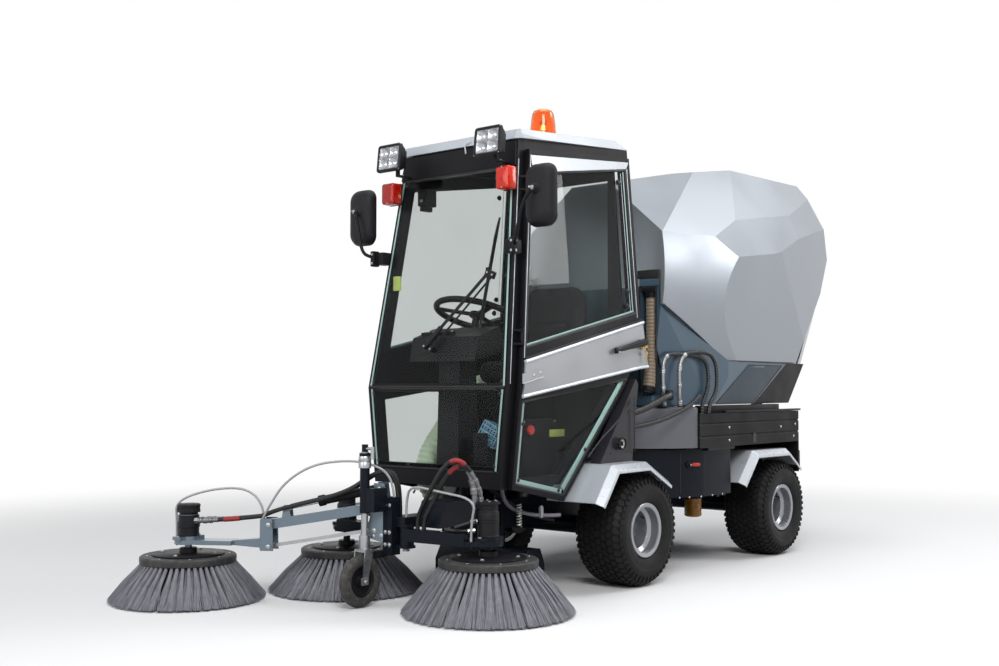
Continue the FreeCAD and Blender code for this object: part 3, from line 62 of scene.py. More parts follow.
def row(x, y, z):
    return TO_ROW @ Vector((x, y, z))


def show(name, data):
    """Puts a mesh, curve, lamp or camera into the scene"""
    thing = bpy.data.objects.new(name, data)
    bpy.context.scene.collection.objects.link(thing)
    return thing


# Shader nodes

def fill(tree, shader, inputs):
    """Sets a shader node's values and links, told apart by their kind"""
    for key, value in inputs.items():
        if isinstance(value, bpy.types.NodeSocket):
            tree.links.new(value, shader.inputs[key])
        else:
            shader.inputs[key].default_value = value


def node(tree, kind, inputs={}, **settings):
    made = tree.nodes.new("ShaderNode" + kind)
    for key, value in settings.items():
        setattr(made, key, value)
    fill(tree, made, inputs)
    return made


def mixed(tree, share, first, second):
    """Mix of two colours"""
    return node(tree, "Mix", {"Factor": share, "A": first, "B": second}, data_type="RGBA").outputs["Result"]


def new_tree(holder):
    holder.use_nodes = True
    return holder.node_tree


# Camera and studio

def make_camera():
    data = bpy.data.cameras.new("camera")
    data.sensor_width = 36.0
    data.lens = 42.607
    data.clip_end = 200.0
    camera = show("camera", data)
    yaw = math.radians(39.8826)
    pitch = math.radians(2.5929)
    ahead = Vector((-math.sin(yaw) * math.cos(pitch), math.cos(yaw) * math.cos(pitch), math.sin(pitch)))
    camera.location = row(3431.46, -4513.69, 893.34)
    camera.rotation_euler = ahead.to_track_quat("-Z", "Y").to_euler()
    bpy.context.scene.camera = camera


def plain_rays(tree):
    """1 for rays that should see the plain white background"""
    path = node(tree, "LightPath")
    total = path.outputs["Is Camera Ray"]
    for name in ("Is Glossy Ray", "Is Transmission Ray"):
        total = node(tree, "Math", {0: total, 1: path.outputs[name]}, operation="MAXIMUM").outputs[0]
    return total


def make_world():
    world = bpy.data.worlds.new("studio")
    bpy.context.scene.world = world
    tree = new_tree(world)
    tree.nodes.clear()
    soft = node(tree, "Background", {"Color": (0.93, 0.96, 1.0, 1.0), "Strength": 0.20})
    white = node(tree, "Background", {"Color": (1.0, 1.0, 1.0, 1.0)})
    mix = node(tree, "MixShader", {0: plain_rays(tree), 1: soft.outputs[0], 2: white.outputs[0]})
    node(tree, "OutputWorld", {"Surface": mix.outputs[0]})


def make_floor(half=60.0):
    """Pale floor that fades to plain white away from the machine"""
    mesh = bpy.data.meshes.new("floor")
    corners = [(-half, -half, 0), (half, -half, 0), (half, half, 0), (-half, half, 0)]
    mesh.from_pydata(corners, [], [(0, 1, 2, 3)])
    floor = show("floor", mesh)
    floor.location.z = -0.0015
    mat = bpy.data.materials.new("pale_floor")
    tree = new_tree(mat)
    tree.nodes.clear()
    tone = mixed(tree, plain_rays(tree), (0.25, 0.25, 0.25, 1.0), (0.97, 0.97, 0.975, 1.0))
    diffuse = node(tree, "BsdfDiffuse", {"Color": tone})
    glow = node(tree, "Emission")
    where = node(tree, "TexCoord").outputs["Object"]
    length = node(tree, "VectorMath", {0: where}, operation="LENGTH").outputs["Value"]
    far = node(tree, "MapRange", {"Value": length, "From Min": 2.2, "From Max": 6.0},
               interpolation_type="SMOOTHSTEP").outputs["Result"]
    mix = node(tree, "MixShader", {0: far, 1: diffuse.outputs[0], 2: glow.outputs[0]})
    node(tree, "OutputMaterial", {"Surface": mix.outputs[0]})
    mesh.materials.append(mat)


def lamp(name, place, target, size, power):
    data = bpy.data.lights.new(name, "AREA")
    data.shape = "RECTANGLE"
    data.size, data.size_y = size
    data.energy = power
    light = show(name, data)
    light.location = place
    light.rotation_euler = (Vector(target) - Vector(place)).to_track_quat("-Z", "Y").to_euler()


make_camera()
make_world()
make_floor()
lamp("key", (4.2, -4.6, 4.7), (0.2, 0.0, 1.0), (2.6, 2.6), 240)
lamp("top", (0.5, 0.2, 7.5), (0.0, 0.0, 0.8), (4.0, 4.0), 180)
lamp("front", (-1.2, -7.5, 3.2), (0.0, 0.0, 0.8), (4.5, 2.6), 110)
lamp("back", (3.6, 4.8, 6.2), (0.3, 0.8, 1.4), (2.4, 2.4), 150)
lamp("side", (4.7, 4.0, 3.1), (0.7, 0.4, 1.7), (1.5, 1.3), 50)
bpy.context.scene.view_settings.view_transform = "Standard"


# Materials

def drifting(tree, scale, detail, colour, drift):
    """Cloud over the object and a colour that drifts lighter and darker with it"""
    where = node(tree, "TexCoord").outputs["Object"]
    cloud = node(tree, "TexNoise", {"Vector": where, "Scale": scale, "Detail": detail}).outputs["Fac"]
    low = (*[c * (1 - drift) for c in colour], 1)
    high = (*[min(1.0, c * (1 + drift)) for c in colour], 1)
    return where, cloud, mixed(tree, cloud, low, high)


def material(name, colour, rough=0.5, metal=0.0, coat=0.0, mottle=0.06, scale=6.0, grain=0.0,
             grain_scale=220.0, edge=0.0, dust=0.0, light=None, spec=None):
    """Painted, moulded or rubber surface with drifting colour, uneven gloss, grain, soft edges and dust"""
    mat = bpy.data.materials.new(name)
    tree = new_tree(mat)
    where, cloud, shown = drifting(tree, scale, 6.0, colour, mottle)
    if dust:
        specks = node(tree, "TexNoise", {"Vector": where, "Scale": scale * 2.3, "Detail": 8.0,
                                         "Roughness": 0.7})
        share = node(tree, "MapRange", {"Value": specks.outputs["Fac"], "From Min": 0.48, "From Max": 0.72,
                                        "To Max": dust})
        shown = mixed(tree, share.outputs["Result"], shown, (0.30, 0.28, 0.25, 1))
    gloss = node(tree, "MapRange", {"Value": cloud, "From Min": 0.3, "From Max": 0.7, "To Min": rough * 0.8,
                                    "To Max": min(1.0, rough * 1.2)})
    values = {"Base Color": shown, "Roughness": gloss.outputs["Result"], "Metallic": metal,
              "Coat Weight": coat, "Coat Roughness": 0.08}
    if edge:
        values["Normal"] = node(tree, "Bevel", {"Radius": edge * 0.001}, samples=4).outputs["Normal"]
    if grain:
        bits = node(tree, "TexNoise", {"Vector": where, "Scale": grain_scale, "Detail": 3.0})
        bump = node(tree, "Bump", {"Strength": grain, "Distance": 0.001, "Height": bits.outputs["Fac"]})
        if edge:
            tree.links.new(values["Normal"], bump.inputs["Normal"])
        values["Normal"] = bump.outputs["Normal"]
    if spec is not None:
        values["Specular IOR Level"] = spec
    if light:
        values["Emission Color"] = (*colour, 1)
        values["Emission Strength"] = light
    fill(tree, tree.nodes["Principled BSDF"], values)
    return mat


def glass(name, colour, rough=0.0, ior=1.45):
    """Clear glass or lens that lets the lamps through"""
    mat = bpy.data.materials.new(name)
    tree = new_tree(mat)
    _, _, shown = drifting(tree, 3.0, 2.0, colour, 0.03)
    shader = tree.nodes["Principled BSDF"]
    fill(tree, shader, {"Transmission Weight": 1.0, "Roughness": rough, "IOR": ior, "Base Color": shown})
    clear = node(tree, "BsdfTransparent", {"Color": (*colour, 1)})
    shadow = node(tree, "LightPath").outputs["Is Shadow Ray"]
    mix = node(tree, "MixShader", {0: shadow, 1: shader.outputs[0], 2: clear.outputs[0]})
    tree.links.new(mix.outputs[0], tree.nodes["Material Output"].inputs["Surface"])
    return mat


M = {
    "tyre": material("tyre_rubber", (0.010, 0.010, 0.011), 0.62, grain=0.35, grain_scale=160, mottle=0.25,
                     scale=9, dust=0.03, spec=0.2),
    "rim": material("rim_paint", (0.36, 0.37, 0.40), 0.30, metal=0.6, coat=0.2, grain=0.05, edge=2.5,
                    dust=0.06),
    "navy": material("navy_paint", (0.006, 0.009, 0.015), 0.36, coat=0.03, grain=0.06, edge=2.0, dust=0.02,
                     spec=0.12),
    "black": material("black_paint", (0.008, 0.008, 0.010), 0.42, grain=0.08, edge=2.0, spec=0.12),
    "plastic": material("black_moulding", (0.010, 0.010, 0.012), 0.50, grain=0.45, grain_scale=420, edge=1.5,
                        spec=0.2),
    "cover": material("black_cover", (0.010, 0.009, 0.010), 0.50, grain=0.5, grain_scale=380, edge=2.0,
                      spec=0.12),
    "silver": material("silver_paint", (0.55, 0.585, 0.625), 0.32, metal=0.20, coat=0.2, grain=0.05,
                       edge=3.0, mottle=0.04),
    # Lighter copy of the silver paint for fender lips, pillar edges and door trims: a painted highlight on
    # their rounded edges
    "highlight_silver": material("painted_highlight_silver", (0.68, 0.72, 0.77), 0.28, metal=0.25, coat=0.3, grain=0.04, edge=3.0,
                       mottle=0.03),
    # Roof paint set lower to offset the strong top light: partly the roof's own grey, partly painted shade
    # on the cab's top
    "roof": material("roof_paint_shaded", (0.50, 0.54, 0.59), 0.42, coat=0.1, grain=0.05, edge=4.0, mottle=0.03),
    "belt": material("belt_satin", (0.33, 0.34, 0.36), 0.36, metal=0.5, grain=0.10, grain_scale=90,
                     mottle=0.05),
    "shell": material("shell_paint", (0.31, 0.335, 0.37), 0.36, metal=0.55, grain=0.02, edge=3.0,
                      mottle=0.03, scale=2.5),
    "base": material("base_paint", (0.060, 0.105, 0.150), 0.34, metal=0.1, coat=0.12, grain=0.03, edge=3.0,
                     mottle=0.05, scale=3),
    # Darker copy of the base paint for the rear side facet of the hopper base: painted shade where that
    # facet turns from the light
    "base_shaded": material("base_painted_shade", (0.022, 0.042, 0.062), 0.40, coat=0.05, grain=0.03, mottle=0.05,
                          scale=3, spec=0.25),
    "shroud": material("shroud_paint", (0.13, 0.137, 0.158), 0.30, metal=0.05, coat=0.25, grain=0.03,
                       edge=4.0, mottle=0.03),
    "quarter": material("quarter_satin", (0.026, 0.025, 0.031), 0.36, coat=0.08, grain=0.12, grain_scale=300,
                        edge=2.5, spec=0.25),
    "engine": material("engine_iron", (0.05, 0.05, 0.055), 0.55, metal=0.6, grain=0.5, grain_scale=60,
                       edge=4.0),
    "steel": material("zinc_steel", (0.40, 0.41, 0.42), 0.32, metal=0.85, grain=0.10, grain_scale=150,
                      mottle=0.10, scale=30),
    "fitting": material("hose_fitting", (0.20, 0.20, 0.21), 0.36, metal=0.75, grain=0.3, grain_scale=240,
                        mottle=0.15, scale=40),
    "chrome": material("polished_rod", (0.75, 0.76, 0.78), 0.10, metal=1.0, mottle=0.02),
    "arm": material("arm_paint", (0.16, 0.215, 0.265), 0.28, metal=0.25, coat=0.35, grain=0.04, edge=2.0,
                    mottle=0.05, dust=0.04),
    "hose": material("hose_rubber", (0.010, 0.010, 0.011), 0.42, grain=0.25, grain_scale=300, mottle=0.15,
                     spec=0.35),
    "guard": material("spiral_guard", (0.014, 0.014, 0.015), 0.30, grain=0.1, mottle=0.1),
    "sleeve": material("red_sleeve", (0.32, 0.020, 0.020), 0.45, grain=0.1, mottle=0.15, scale=20),
    "braid": material("steel_braid", (0.34, 0.33, 0.32), 0.40, metal=0.8, grain=0.8, grain_scale=260,
                      mottle=0.3, scale=60),
    "tube": material("water_tube", (0.42, 0.43, 0.44), 0.35, coat=0.3, mottle=0.08, scale=14),
    "drain": material("drain_tube", (0.24, 0.22, 0.26), 0.4, coat=0.3, mottle=0.1, scale=14),
    "spring": material("spring_wire", (0.62, 0.62, 0.58), 0.3, metal=0.6, mottle=0.1, scale=20),
    "air": material("air_hose", (0.30, 0.235, 0.17), 0.5, grain=0.2, mottle=0.15, scale=14),
    # Pale green of the suction duct, raised to stand in for the sunlight on it inside the cab: its own
    # colour together with painted light
    "duct": material("duct_hose", (0.55, 0.66, 0.48), 0.45, coat=0.2, grain=0.1, mottle=0.12, scale=10),
    "bristle": material("bristles", (0.22, 0.22, 0.255), 0.5, mottle=0.45, scale=42, dust=0.08),
    "ring": material("brush_ring", (0.020, 0.020, 0.022), 0.6, grain=0.5, grain_scale=130, mottle=0.3,
                     scale=16, dust=0.16, edge=2.0),
    "seat": material("seat_cover", (0.012, 0.013, 0.015), 0.75, grain=0.8, grain_scale=520, mottle=0.12,
                     scale=16, spec=0.25),
    "crate": material("crate_blue", (0.16, 0.33, 0.46), 0.45, mottle=0.05, edge=1.0),
    "strip": material("edge_strip", (0.30, 0.46, 0.43), 0.36, metal=0.15, coat=0.3, mottle=0.05, edge=1.0),
    "gold": material("key_brass", (0.60, 0.40, 0.10), 0.3, metal=0.9, mottle=0.1, scale=40),
    "white": material("dial_white", (0.78, 0.79, 0.80), 0.4, mottle=0.03),
    "red": material("red_plastic", (0.62, 0.030, 0.020), 0.4, coat=0.2, mottle=0.05, edge=1.0),
    "filter": material("filter_amber", (0.50, 0.22, 0.02), 0.35, coat=0.3, mottle=0.15, scale=18, edge=2.0),
    "caster": material("caster_rubber", (0.045, 0.043, 0.042), 0.7, grain=0.5, grain_scale=120, mottle=0.3,
                       scale=20, dust=0.35),
    "seal": material("seal_rubber", (0.010, 0.010, 0.011), 0.6, grain=0.2, mottle=0.1),
    "mirror": material("mirror_glass", (0.70, 0.72, 0.74), 0.04, metal=1.0, mottle=0.01),
    "core_orange": material("orange_reflector", (0.62, 0.09, 0.015), 0.3, mottle=0.1, scale=30),
    "core_red": material("red_reflector", (0.42, 0.03, 0.015), 0.3, mottle=0.1, scale=30),
    "bulb": material("lamp_bulb", (1.0, 0.70, 0.28), 0.3, light=2.6, mottle=0.02),
    "bowl": material("lamp_bowl", (0.40, 0.41, 0.43), 0.22, metal=0.9, mottle=0.05, scale=30),
    "pale": material("label_blank", (0.42, 0.50, 0.12), 0.5, mottle=0.08, scale=40),
    "stainless": material("stainless", (0.52, 0.53, 0.54), 0.30, metal=0.9, grain=0.08, grain_scale=80,
                          edge=3.0, mottle=0.06),
    "glass": glass("tinted_glass", (0.715, 0.74, 0.73), ior=1.14),
    "amber": glass("amber_lens", (1.0, 0.33, 0.02), rough=0.10),
    "marker": glass("marker_lens", (0.80, 0.16, 0.035), rough=0.12),
    "clear": glass("clear_lens", (0.97, 0.98, 0.99)),
    "tail": glass("tail_lens", (0.75, 0.05, 0.03), rough=0.15),
}


# Mesh tools

def basis(axis):
    return Vector(axis).to_track_quat("Z", "Y").to_matrix()


def turned(degrees, axis, size=3):
    return Matrix.Rotation(math.radians(degrees), size, axis)


def circle(count, turn=0.0):
    """Angles at an even spacing round a full turn"""
    return [2 * math.pi * i / count + turn for i in range(count)]


def spots(x, y, z, radius, count, turn=0.0):
    """Points on a level circle"""
    return [Vector((x + radius * math.cos(a), y + radius * math.sin(a), z)) for a in circle(count, turn)]


def spline(points):
    """Points along the NURBS line through a route's control points"""
    curve = bpy.data.curves.new("route", "CURVE")
    curve.dimensions = "3D"
    line = curve.splines.new("NURBS")
    line.points.add(len(points) - 1)
    for spot, point in zip(line.points, points):
        spot.co = (*[c * 0.001 for c in point], 1.0)
    line.order_u = 3
    line.use_endpoint_u = True
    line.resolution_u = 14
    holder = show("route", curve)
    bpy.context.view_layer.update()
    mesh = bpy.data.meshes.new_from_object(holder.evaluated_get(bpy.context.evaluated_depsgraph_get()))
    made = [v.co.copy() * 1000.0 for v in mesh.vertices]
    bpy.data.meshes.remove(mesh)
    bpy.data.objects.remove(holder)
    bpy.data.curves.remove(curve)
    return made


def even(line, step):
    """The same line with points at an even spacing"""
    line = [Vector(p) for p in line]
    total = sum((b - a).length for a, b in zip(line, line[1:]))
    count = max(2, round(total / step))
    gap = total / count
    made = [line[0]]
    want = gap
    gone = 0.0
    for a, b in zip(line, line[1:]):
        run = (b - a).length
        while want <= gone + run + 1e-9 and len(made) < count:
            made.append(a.lerp(b, (want - gone) / run))
            want += gap
        gone += run
    made.append(line[-1])
    return made


def course(points, step=6.0):
    """Evenly spaced points along a route's smooth line"""
    return even(spline(points), step)


def part_of(line, start, end, step=2.0):
    """Stretch of a line between two distances"""
    fine = even(line, step)
    total = (len(fine) - 1) * step
    first = max(0, round(start / step))
    last = min(len(fine) - 1, round(min(end, total) / step))
    return fine[first:last + 1]


def ring(width, height, corner, place, across, up, count=5):
    """Rounded rectangle about a point, spanned by two directions"""
    place = Vector(place)
    across = Vector(across).normalized()
    up = Vector(up)
    up = (up - across * up.dot(across)).normalized()
    corner = min(corner, width / 2 - 0.01, height / 2 - 0.01)
    made = []
    for sx, sy, quarter in ((1, 1, 0), (-1, 1, 1), (-1, -1, 2), (1, -1, 3)):
        for i in range(count):
            a = math.pi / 2 * (quarter + i / (count - 1))
            made.append(place + across * (sx * (width / 2 - corner) + corner * math.cos(a))
                        + up * (sy * (height / 2 - corner) + corner * math.sin(a)))
    return made


def mirrored(mesh):
    """Turns a bmesh into its mirror image on the machine's right"""
    bmesh.ops.scale(mesh, vec=Vector((-1, 1, 1)), verts=mesh.verts)
    bmesh.ops.reverse_faces(mesh, faces=mesh.faces)
    return mesh


class Piece:
    """Mesh drawn in vehicle millimetres, with one or more materials"""

    def __init__(self, mat):
        self.bm = bmesh.new()
        self.mats = [mat]
        self.slot = 0

    def use(self, mat):
        """What is drawn from here on takes this material"""
        if mat not in self.mats:
            self.mats.append(mat)
        self.slot = self.mats.index(mat)
        return self

    def add(self, verts, faces):
        made = [self.bm.verts.new(v) for v in verts]
        for face in faces:
            if len({tuple(round(c, 5) for c in made[i].co) for i in face}) < 3:
                continue
            new = self.bm.faces.new([made[i] for i in face])
            new.material_index = self.slot
            new.smooth = True
        return self

    def skin(self, rings, closed=False, caps=True):
        """Faces between rings of equal length, capped at both ends, at the last one only or not at all"""
        n = len(rings[0])
        count = len(rings)
        faces = []
        for i in range(count if closed else count - 1):
            a = i * n
            b = (i + 1) % count * n
            for j in range(n):
                k = (j + 1) % n
                faces.append((a + j, a + k, b + k, b + j))
        if caps is True and not closed:
            faces.append(tuple(reversed(range(n))))
        if caps and not closed:
            faces.append(tuple((count - 1) * n + j for j in range(n)))
        return self.add([v for ring in rings for v in ring], faces)

    def stack(self, levels, place, across=LEFT, up=UP, out=BACK, count=5, caps=True):
        """Skin over rounded rectangles (width, height, corner, distance along the way out)"""
        place = Vector(place)
        out = Vector(out)
        return self.skin([ring(w, h, corner, place + out * far, across, up, count)
                          for w, h, corner, far in levels], caps=caps)

    def lathe(self, profile, centre, axis=UP, segments=32, closed=False, flute=0.0):
        """Turned shape from (radius, height) points, with fine upright flutes if asked"""
        turn = basis(axis)
        centre = Vector(centre)
        rings = []
        for i, a in enumerate(circle(segments)):
            cut = flute if i % 2 else 0.0
            way = Vector((math.cos(a), math.sin(a), 0))
            rings.append([centre + turn @ (way * (r - cut if r > cut else 0) + Vector((0, 0, h)))
                          for r, h in profile])
        n = len(profile)
        faces = []
        for i in range(segments):
            a = i * n
            b = (i + 1) % segments * n
            for j in range(n if closed else n - 1):
                k = (j + 1) % n
                faces.append((a + j, b + j, b + k, a + k))
        return self.add([v for ring in rings for v in ring], faces)

    def tube(self, line, radius, segments=10, caps=True):
        """Round tube along a line. The radius is a number or a function of the distance"""
        line = [Vector(p) for p in line]
        rings = []
        gone = 0.0
        side = None
        for i, point in enumerate(line):
            before = line[max(i - 1, 0)]
            after = line[min(i + 1, len(line) - 1)]
            along = (after - before).normalized()
            if side is None:
                side = along.orthogonal().normalized()
            side = (side - along * side.dot(along)).normalized()
            up = along.cross(side)
            if i:
                gone += (point - before).length
            r = radius(gone) if callable(radius) else radius
            rings.append([point + (side * math.cos(t) + up * math.sin(t)) * r for t in circle(segments)])
        return self.skin(rings, caps=caps)

    def bar(self, start, end, radius, segments=16, edge=1.0):
        """Round bar with small chamfers"""
        a = Vector(start)
        b = Vector(end)
        length = (b - a).length
        edge = min(edge, radius * 0.4, length * 0.4)
        return self.lathe([(0, 0), (radius - edge, 0), (radius, edge), (radius, length - edge),
                           (radius - edge, length), (0, length)], a, b - a, segments)

    def block(self, size, place, turn=None, bevel=2.0):
        """Bevelled box about a centre"""
        made = bmesh.new()
        bmesh.ops.create_cube(made, size=1.0)
        bmesh.ops.scale(made, vec=Vector(size), verts=made.verts)
        bmesh.ops.bevel(made, geom=made.edges[:] + made.verts[:], offset=bevel, segments=2, profile=0.6,
                        affect="EDGES", clamp_overlap=True)
        at = Matrix.Translation(Vector(place))
        if turn is not None:
            at = at @ turn.to_4x4()
        bmesh.ops.transform(made, matrix=at, verts=made.verts)
        return self.take(made)

    def box(self, x0, x1, y0, y1, z0, z1, bevel=2.0):
        centre = ((x0 + x1) / 2, (y0 + y1) / 2, (z0 + z1) / 2)
        return self.block((x1 - x0, y1 - y0, z1 - z0), centre, bevel=bevel)

    def rail(self, start, end, wide, width, thick, corner=1.0):
        """Flat bar between two points, its width along a direction"""
        a = Vector(start)
        b = Vector(end)
        along = (b - a).normalized()
        wide = Vector(wide)
        wide = (wide - along * wide.dot(along)).normalized()
        up = along.cross(wide)
        return self.skin([ring(width, thick, corner, place, wide, up, 3) for place in (a, b)])

    def loop(self, centre, radius, wire, axis, segments=28):
        """Closed wire ring"""
        turn = basis(axis)
        up = turn @ Vector(UP)
        rings = []
        for a in circle(segments):
            out = turn @ Vector((math.cos(a), math.sin(a), 0))
            rings.append([Vector(centre) + out * (radius + wire * math.cos(t)) + up * wire * math.sin(t)
                          for t in circle(8)])
        return self.skin(rings, closed=True)

    def sheet(self, corners, thickness, bevel=1.0):
        """Flat plate from its corner points, thick to one side"""
        corners = [Vector(c) for c in corners]
        normal = (corners[1] - corners[0]).cross(corners[2] - corners[1]).normalized()
        made = bmesh.new()
        low = [made.verts.new(c) for c in corners]
        high = [made.verts.new(c + normal * thickness) for c in corners]
        made.faces.new(list(reversed(low)))
        made.faces.new(high)
        for i in range(len(corners)):
            j = (i + 1) % len(corners)
            made.faces.new([low[i], low[j], high[j], high[i]])
        bmesh.ops.bevel(made, geom=made.edges[:], offset=min(bevel, thickness * 0.4), segments=1,
                        affect="EDGES")
        return self.take(made)

    def bolt(self, place, axis, size=8.0, washer=True):
        """Hexagon head with its washer"""
        high = size * 0.62
        wide = size * 1.15
        low = size * 0.14
        if washer:
            self.lathe([(0, 0), (wide, 0), (wide, low), (0, low)], place, axis, 14)
        head = [(0, 0), (size * 0.9, 0), (size * 0.9, high * 0.8), (size * 0.72, high), (0, high)]
        return self.lathe(head, place, axis, 6)

    def dome(self, place, axis, size=7.0, tall=0.45):
        """Round screw head"""
        curve = [(size * math.cos(a), size * tall * math.sin(a)) for a in (0.4, 0.8, 1.2)]
        return self.lathe([(0, 0), (size, 0)] + curve + [(0, size * tall)], place, axis, 14)

    def place(self, matrix):
        """Moves all that has been drawn so far"""
        bmesh.ops.transform(self.bm, matrix=matrix, verts=self.bm.verts)
        return self

    def take(self, other, keep=False):
        """Copies another bmesh in and frees it, in the material in use unless its own ones are kept"""
        index = {v: self.bm.verts.new(v.co) for v in other.verts}
        for f in other.faces:
            new = self.bm.faces.new([index[v] for v in f.verts])
            new.material_index = f.material_index if keep else self.slot
            new.smooth = f.smooth if keep else True
        other.free()
        return self

    def flip(self):
        mirrored(self.bm)
        return self

    def mirror(self):
        """A second half on the machine's right"""
        return self.take(mirrored(self.bm.copy()), keep=True)

    def done(self, name, body, replaces=(), slot=None, smooth=40.0, ride=True):
        mesh = bpy.data.meshes.new(name)
        bmesh.ops.remove_doubles(self.bm, verts=self.bm.verts, dist=0.002)
        bmesh.ops.transform(self.bm, matrix=TO_ROW, verts=self.bm.verts)
        bmesh.ops.recalc_face_normals(self.bm, faces=self.bm.faces)
        self.bm.to_mesh(mesh)
        self.bm.free()
        for mat in self.mats:
            mesh.materials.append(M[mat])
        mesh.set_sharp_from_angle(angle=math.radians(smooth))
        thing = show(name, mesh)
        if ride:
            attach(thing, body)
        if replaces:
            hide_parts(*replaces)
        return thing


def hose(name, points, radius, body, mat, segments=12, replaces=(), slot="hose",
         shape=None, step=None, joint=None):
    """Hose along a route, round or shaped. It rides on a body, or, when a joint is given, stays where it is
    drawn on no body
    """
    line = course(points, step or max(6.0, radius * 0.8))
    thing = Piece(mat).tube(line, shape or radius, segments)
    thing = thing.done(name, body, replaces, slot, smooth=60, ride=not joint)
    if joint:
        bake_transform(thing)
    return thing


# Surfaces of the CAD nodes, to set trim on them

trees = {}


def surface(name, start, along):
    """Where a line meets a CAD node, and the face's normal there, in millimetres"""
    if name not in trees:
        mesh = bmesh.new()
        mesh.from_mesh(nodes[name].data)
        trees[name] = BVHTree.FromBMesh(mesh)
        mesh.free()
    place, normal, _, _ = trees[name].ray_cast(row(*start), Vector(along).normalized())
    return (FROM_ROW @ place, normal) if place else (None, None)


def on_left(name, y, z, out=0.0):
    """Point on the left side of a CAD node, or a little outside it"""
    place, normal = surface(name, (900, y, z), (-1, 0, 0))
    return place + normal * out if place else None


def found(points):
    return [p for p in points if p is not None]


# CAD nodes keep their shape and take a finish

FINISH = {
    "navy": "front_frame suction_mouth rear_frame side_skirts sweeper_frame left_arm right_arm",
    "silver": "front_fenders rear_fenders",
    "black": "cab_front cab_frame door_left_frame door_right_frame hopper_tail ram_barrel",
    "glass": "cab_glass door_left_glass door_right_glass",
    "belt": "door_left_panel door_right_panel",
    "plastic": "steering_console front_lamps mirrors wiper",
    "hose": "service_hoses left_hoses right_hoses third_hoses",
    "ring": "brush_left brush_right brush_third",
    "arm": "third_bracket third_arm third_head",
    "steel": "third_tie caster_fork",
    "tyre": "tyre_front_left tyre_front_right tyre_rear_left tyre_rear_right",
    "rim": "rim_front_left rim_front_right rim_rear_left rim_rear_right",
    "roof": "cab_roof", "seat": "seat", "quarter": "side_panels", "amber": "beacon", "duct": "suction_hose",
    "shroud": "drum_shroud", "cover": "engine_cover", "engine": "engine_block", "tail": "tail_lamps",
    "filter": "oil_filter", "shell": "hopper_shell", "base": "hopper_base", "air": "hopper_hose",
    "stainless": "hopper_door", "chrome": "ram_rod", "caster": "caster_wheel",
}
FACETED = ("hopper_shell", "hopper_base", "hopper_tail", "cab_roof")
PANEL_TOP_Z = 1.7


def finish_node(thing, name, mat):
    """One material, soft shading within each face and, on a door's panel, silver above the window"""
    thing.data.materials.clear()
    thing.data.materials.append(M[mat])
    weld = thing.modifiers.new("weld", "WELD")
    weld.merge_threshold = 0.00001
    for face in thing.data.polygons:
        face.use_smooth = True
    if name.endswith("_panel"):
        thing.data.materials.append(M["silver"])
        for face in thing.data.polygons:
            face.material_index = 1 if (thing.matrix_world @ face.center).z > PANEL_TOP_Z else 0
    crease = thing.modifiers.new("crease", "EDGE_SPLIT")
    crease.split_angle = math.radians(2.5 if name in FACETED else 32)


for mat, names in FINISH.items():
    for name in names.split():
        finish_node(nodes[name], name, mat)


# Wheels

WHEEL_X = 410.0
WHEEL_R = 250.0
REAR_Y = 1329.0
TREAD = [(0, 250.0), (77, 250.0), (105, 240.0), (122, 215.0), (124.5, 196.0)]
LUG_COUNT = 46
LUG_ROWS = [(-102, 24), (-74, 26), (-45, 26), (-15, 26), (15, 26), (45, 26), (74, 26), (102, 24)]
LUG = [(-0.5, -0.20), (-0.22, -0.44), (0.22, -0.40), (0.5, -0.16), (0.5, 0.22), (0.22, 0.44), (-0.22, 0.40),
       (-0.5, 0.18)]
SHOULDER = [(117, -0.26, 228.0), (117, 0.26, 228.0), (123.2, 0.20, 208.0), (123.2, -0.20, 208.0)]
CARCASS = [(0, 242.5), (40, 242.5), (77, 242.0), (98, 236.0), (112, 222.0), (121, 205.0), (124.6, 186.0),
           (124, 176.0), (122.6, 173.5), (122.6, 168.0), (121, 158.0), (117, 143.0), (109, 130.0),
           (101, 122.5), (99.5, 109.0)]


def tread_radius(w):
    w = abs(w)
    for (w0, r0), (w1, r1) in zip(TREAD, TREAD[1:]):
        if w <= w1:
            return r0 + (r1 - r0) * (w - w0) / (w1 - w0)
    return TREAD[-1][1]


def both_sides(half):
    """Closed outline of (radius, width) from one half's (width, radius) points"""
    return [(r, -w) for w, r in reversed(half)] + [(r, w) for w, r in half[1:]]


def tyre(name, y, side):
    """Turf tyre: smooth carcass with staggered lugs out to the shoulders"""
    piece = Piece("tyre")
    centre = Vector((side * WHEEL_X, y, WHEEL_R))
    piece.lathe(both_sides(CARCASS), centre, (side, 0, 0), 72, closed=True)
    pitch = 2 * math.pi / LUG_COUNT

    def spot(w, a, r):
        return centre + Vector((side * w, r * math.cos(a), r * math.sin(a)))

    def knob(low, high):
        n = len(low)
        sides = [(j, (j + 1) % n, n + (j + 1) % n, n + j) for j in range(n)]
        piece.add(low + high, [tuple(range(n, 2 * n))] + sides)

    for k, (w, width) in enumerate(LUG_ROWS):
        lean = 0.18 if k % 2 else -0.18
        for i in range(LUG_COUNT):
            a = (i + 0.5 * (k % 2)) * pitch
            corners = [(u * width, a + (v * 0.92 + lean * u) * pitch, tread_radius(w + u * width))
                       for u, v in LUG]
            knob([spot(w + u, t, r - 11) for u, t, r in corners],
                 [spot(w + u * 0.9, t, r - 0.4) for u, t, r in corners])
    for s in (-1, 1):
        for i in range(LUG_COUNT):
            corners = [(w, (i + 0.25 + v) * pitch, r) for w, v, r in SHOULDER]
            knob([spot(s * (w - 6), t, r - 3) for w, t, r in corners],
                 [spot(s * (w + 1.2), t, r) for w, t, r in corners])
    piece.done("turf_tyre_" + name, "wheel_" + name, ["tyre_" + name], "tyre", smooth=30)


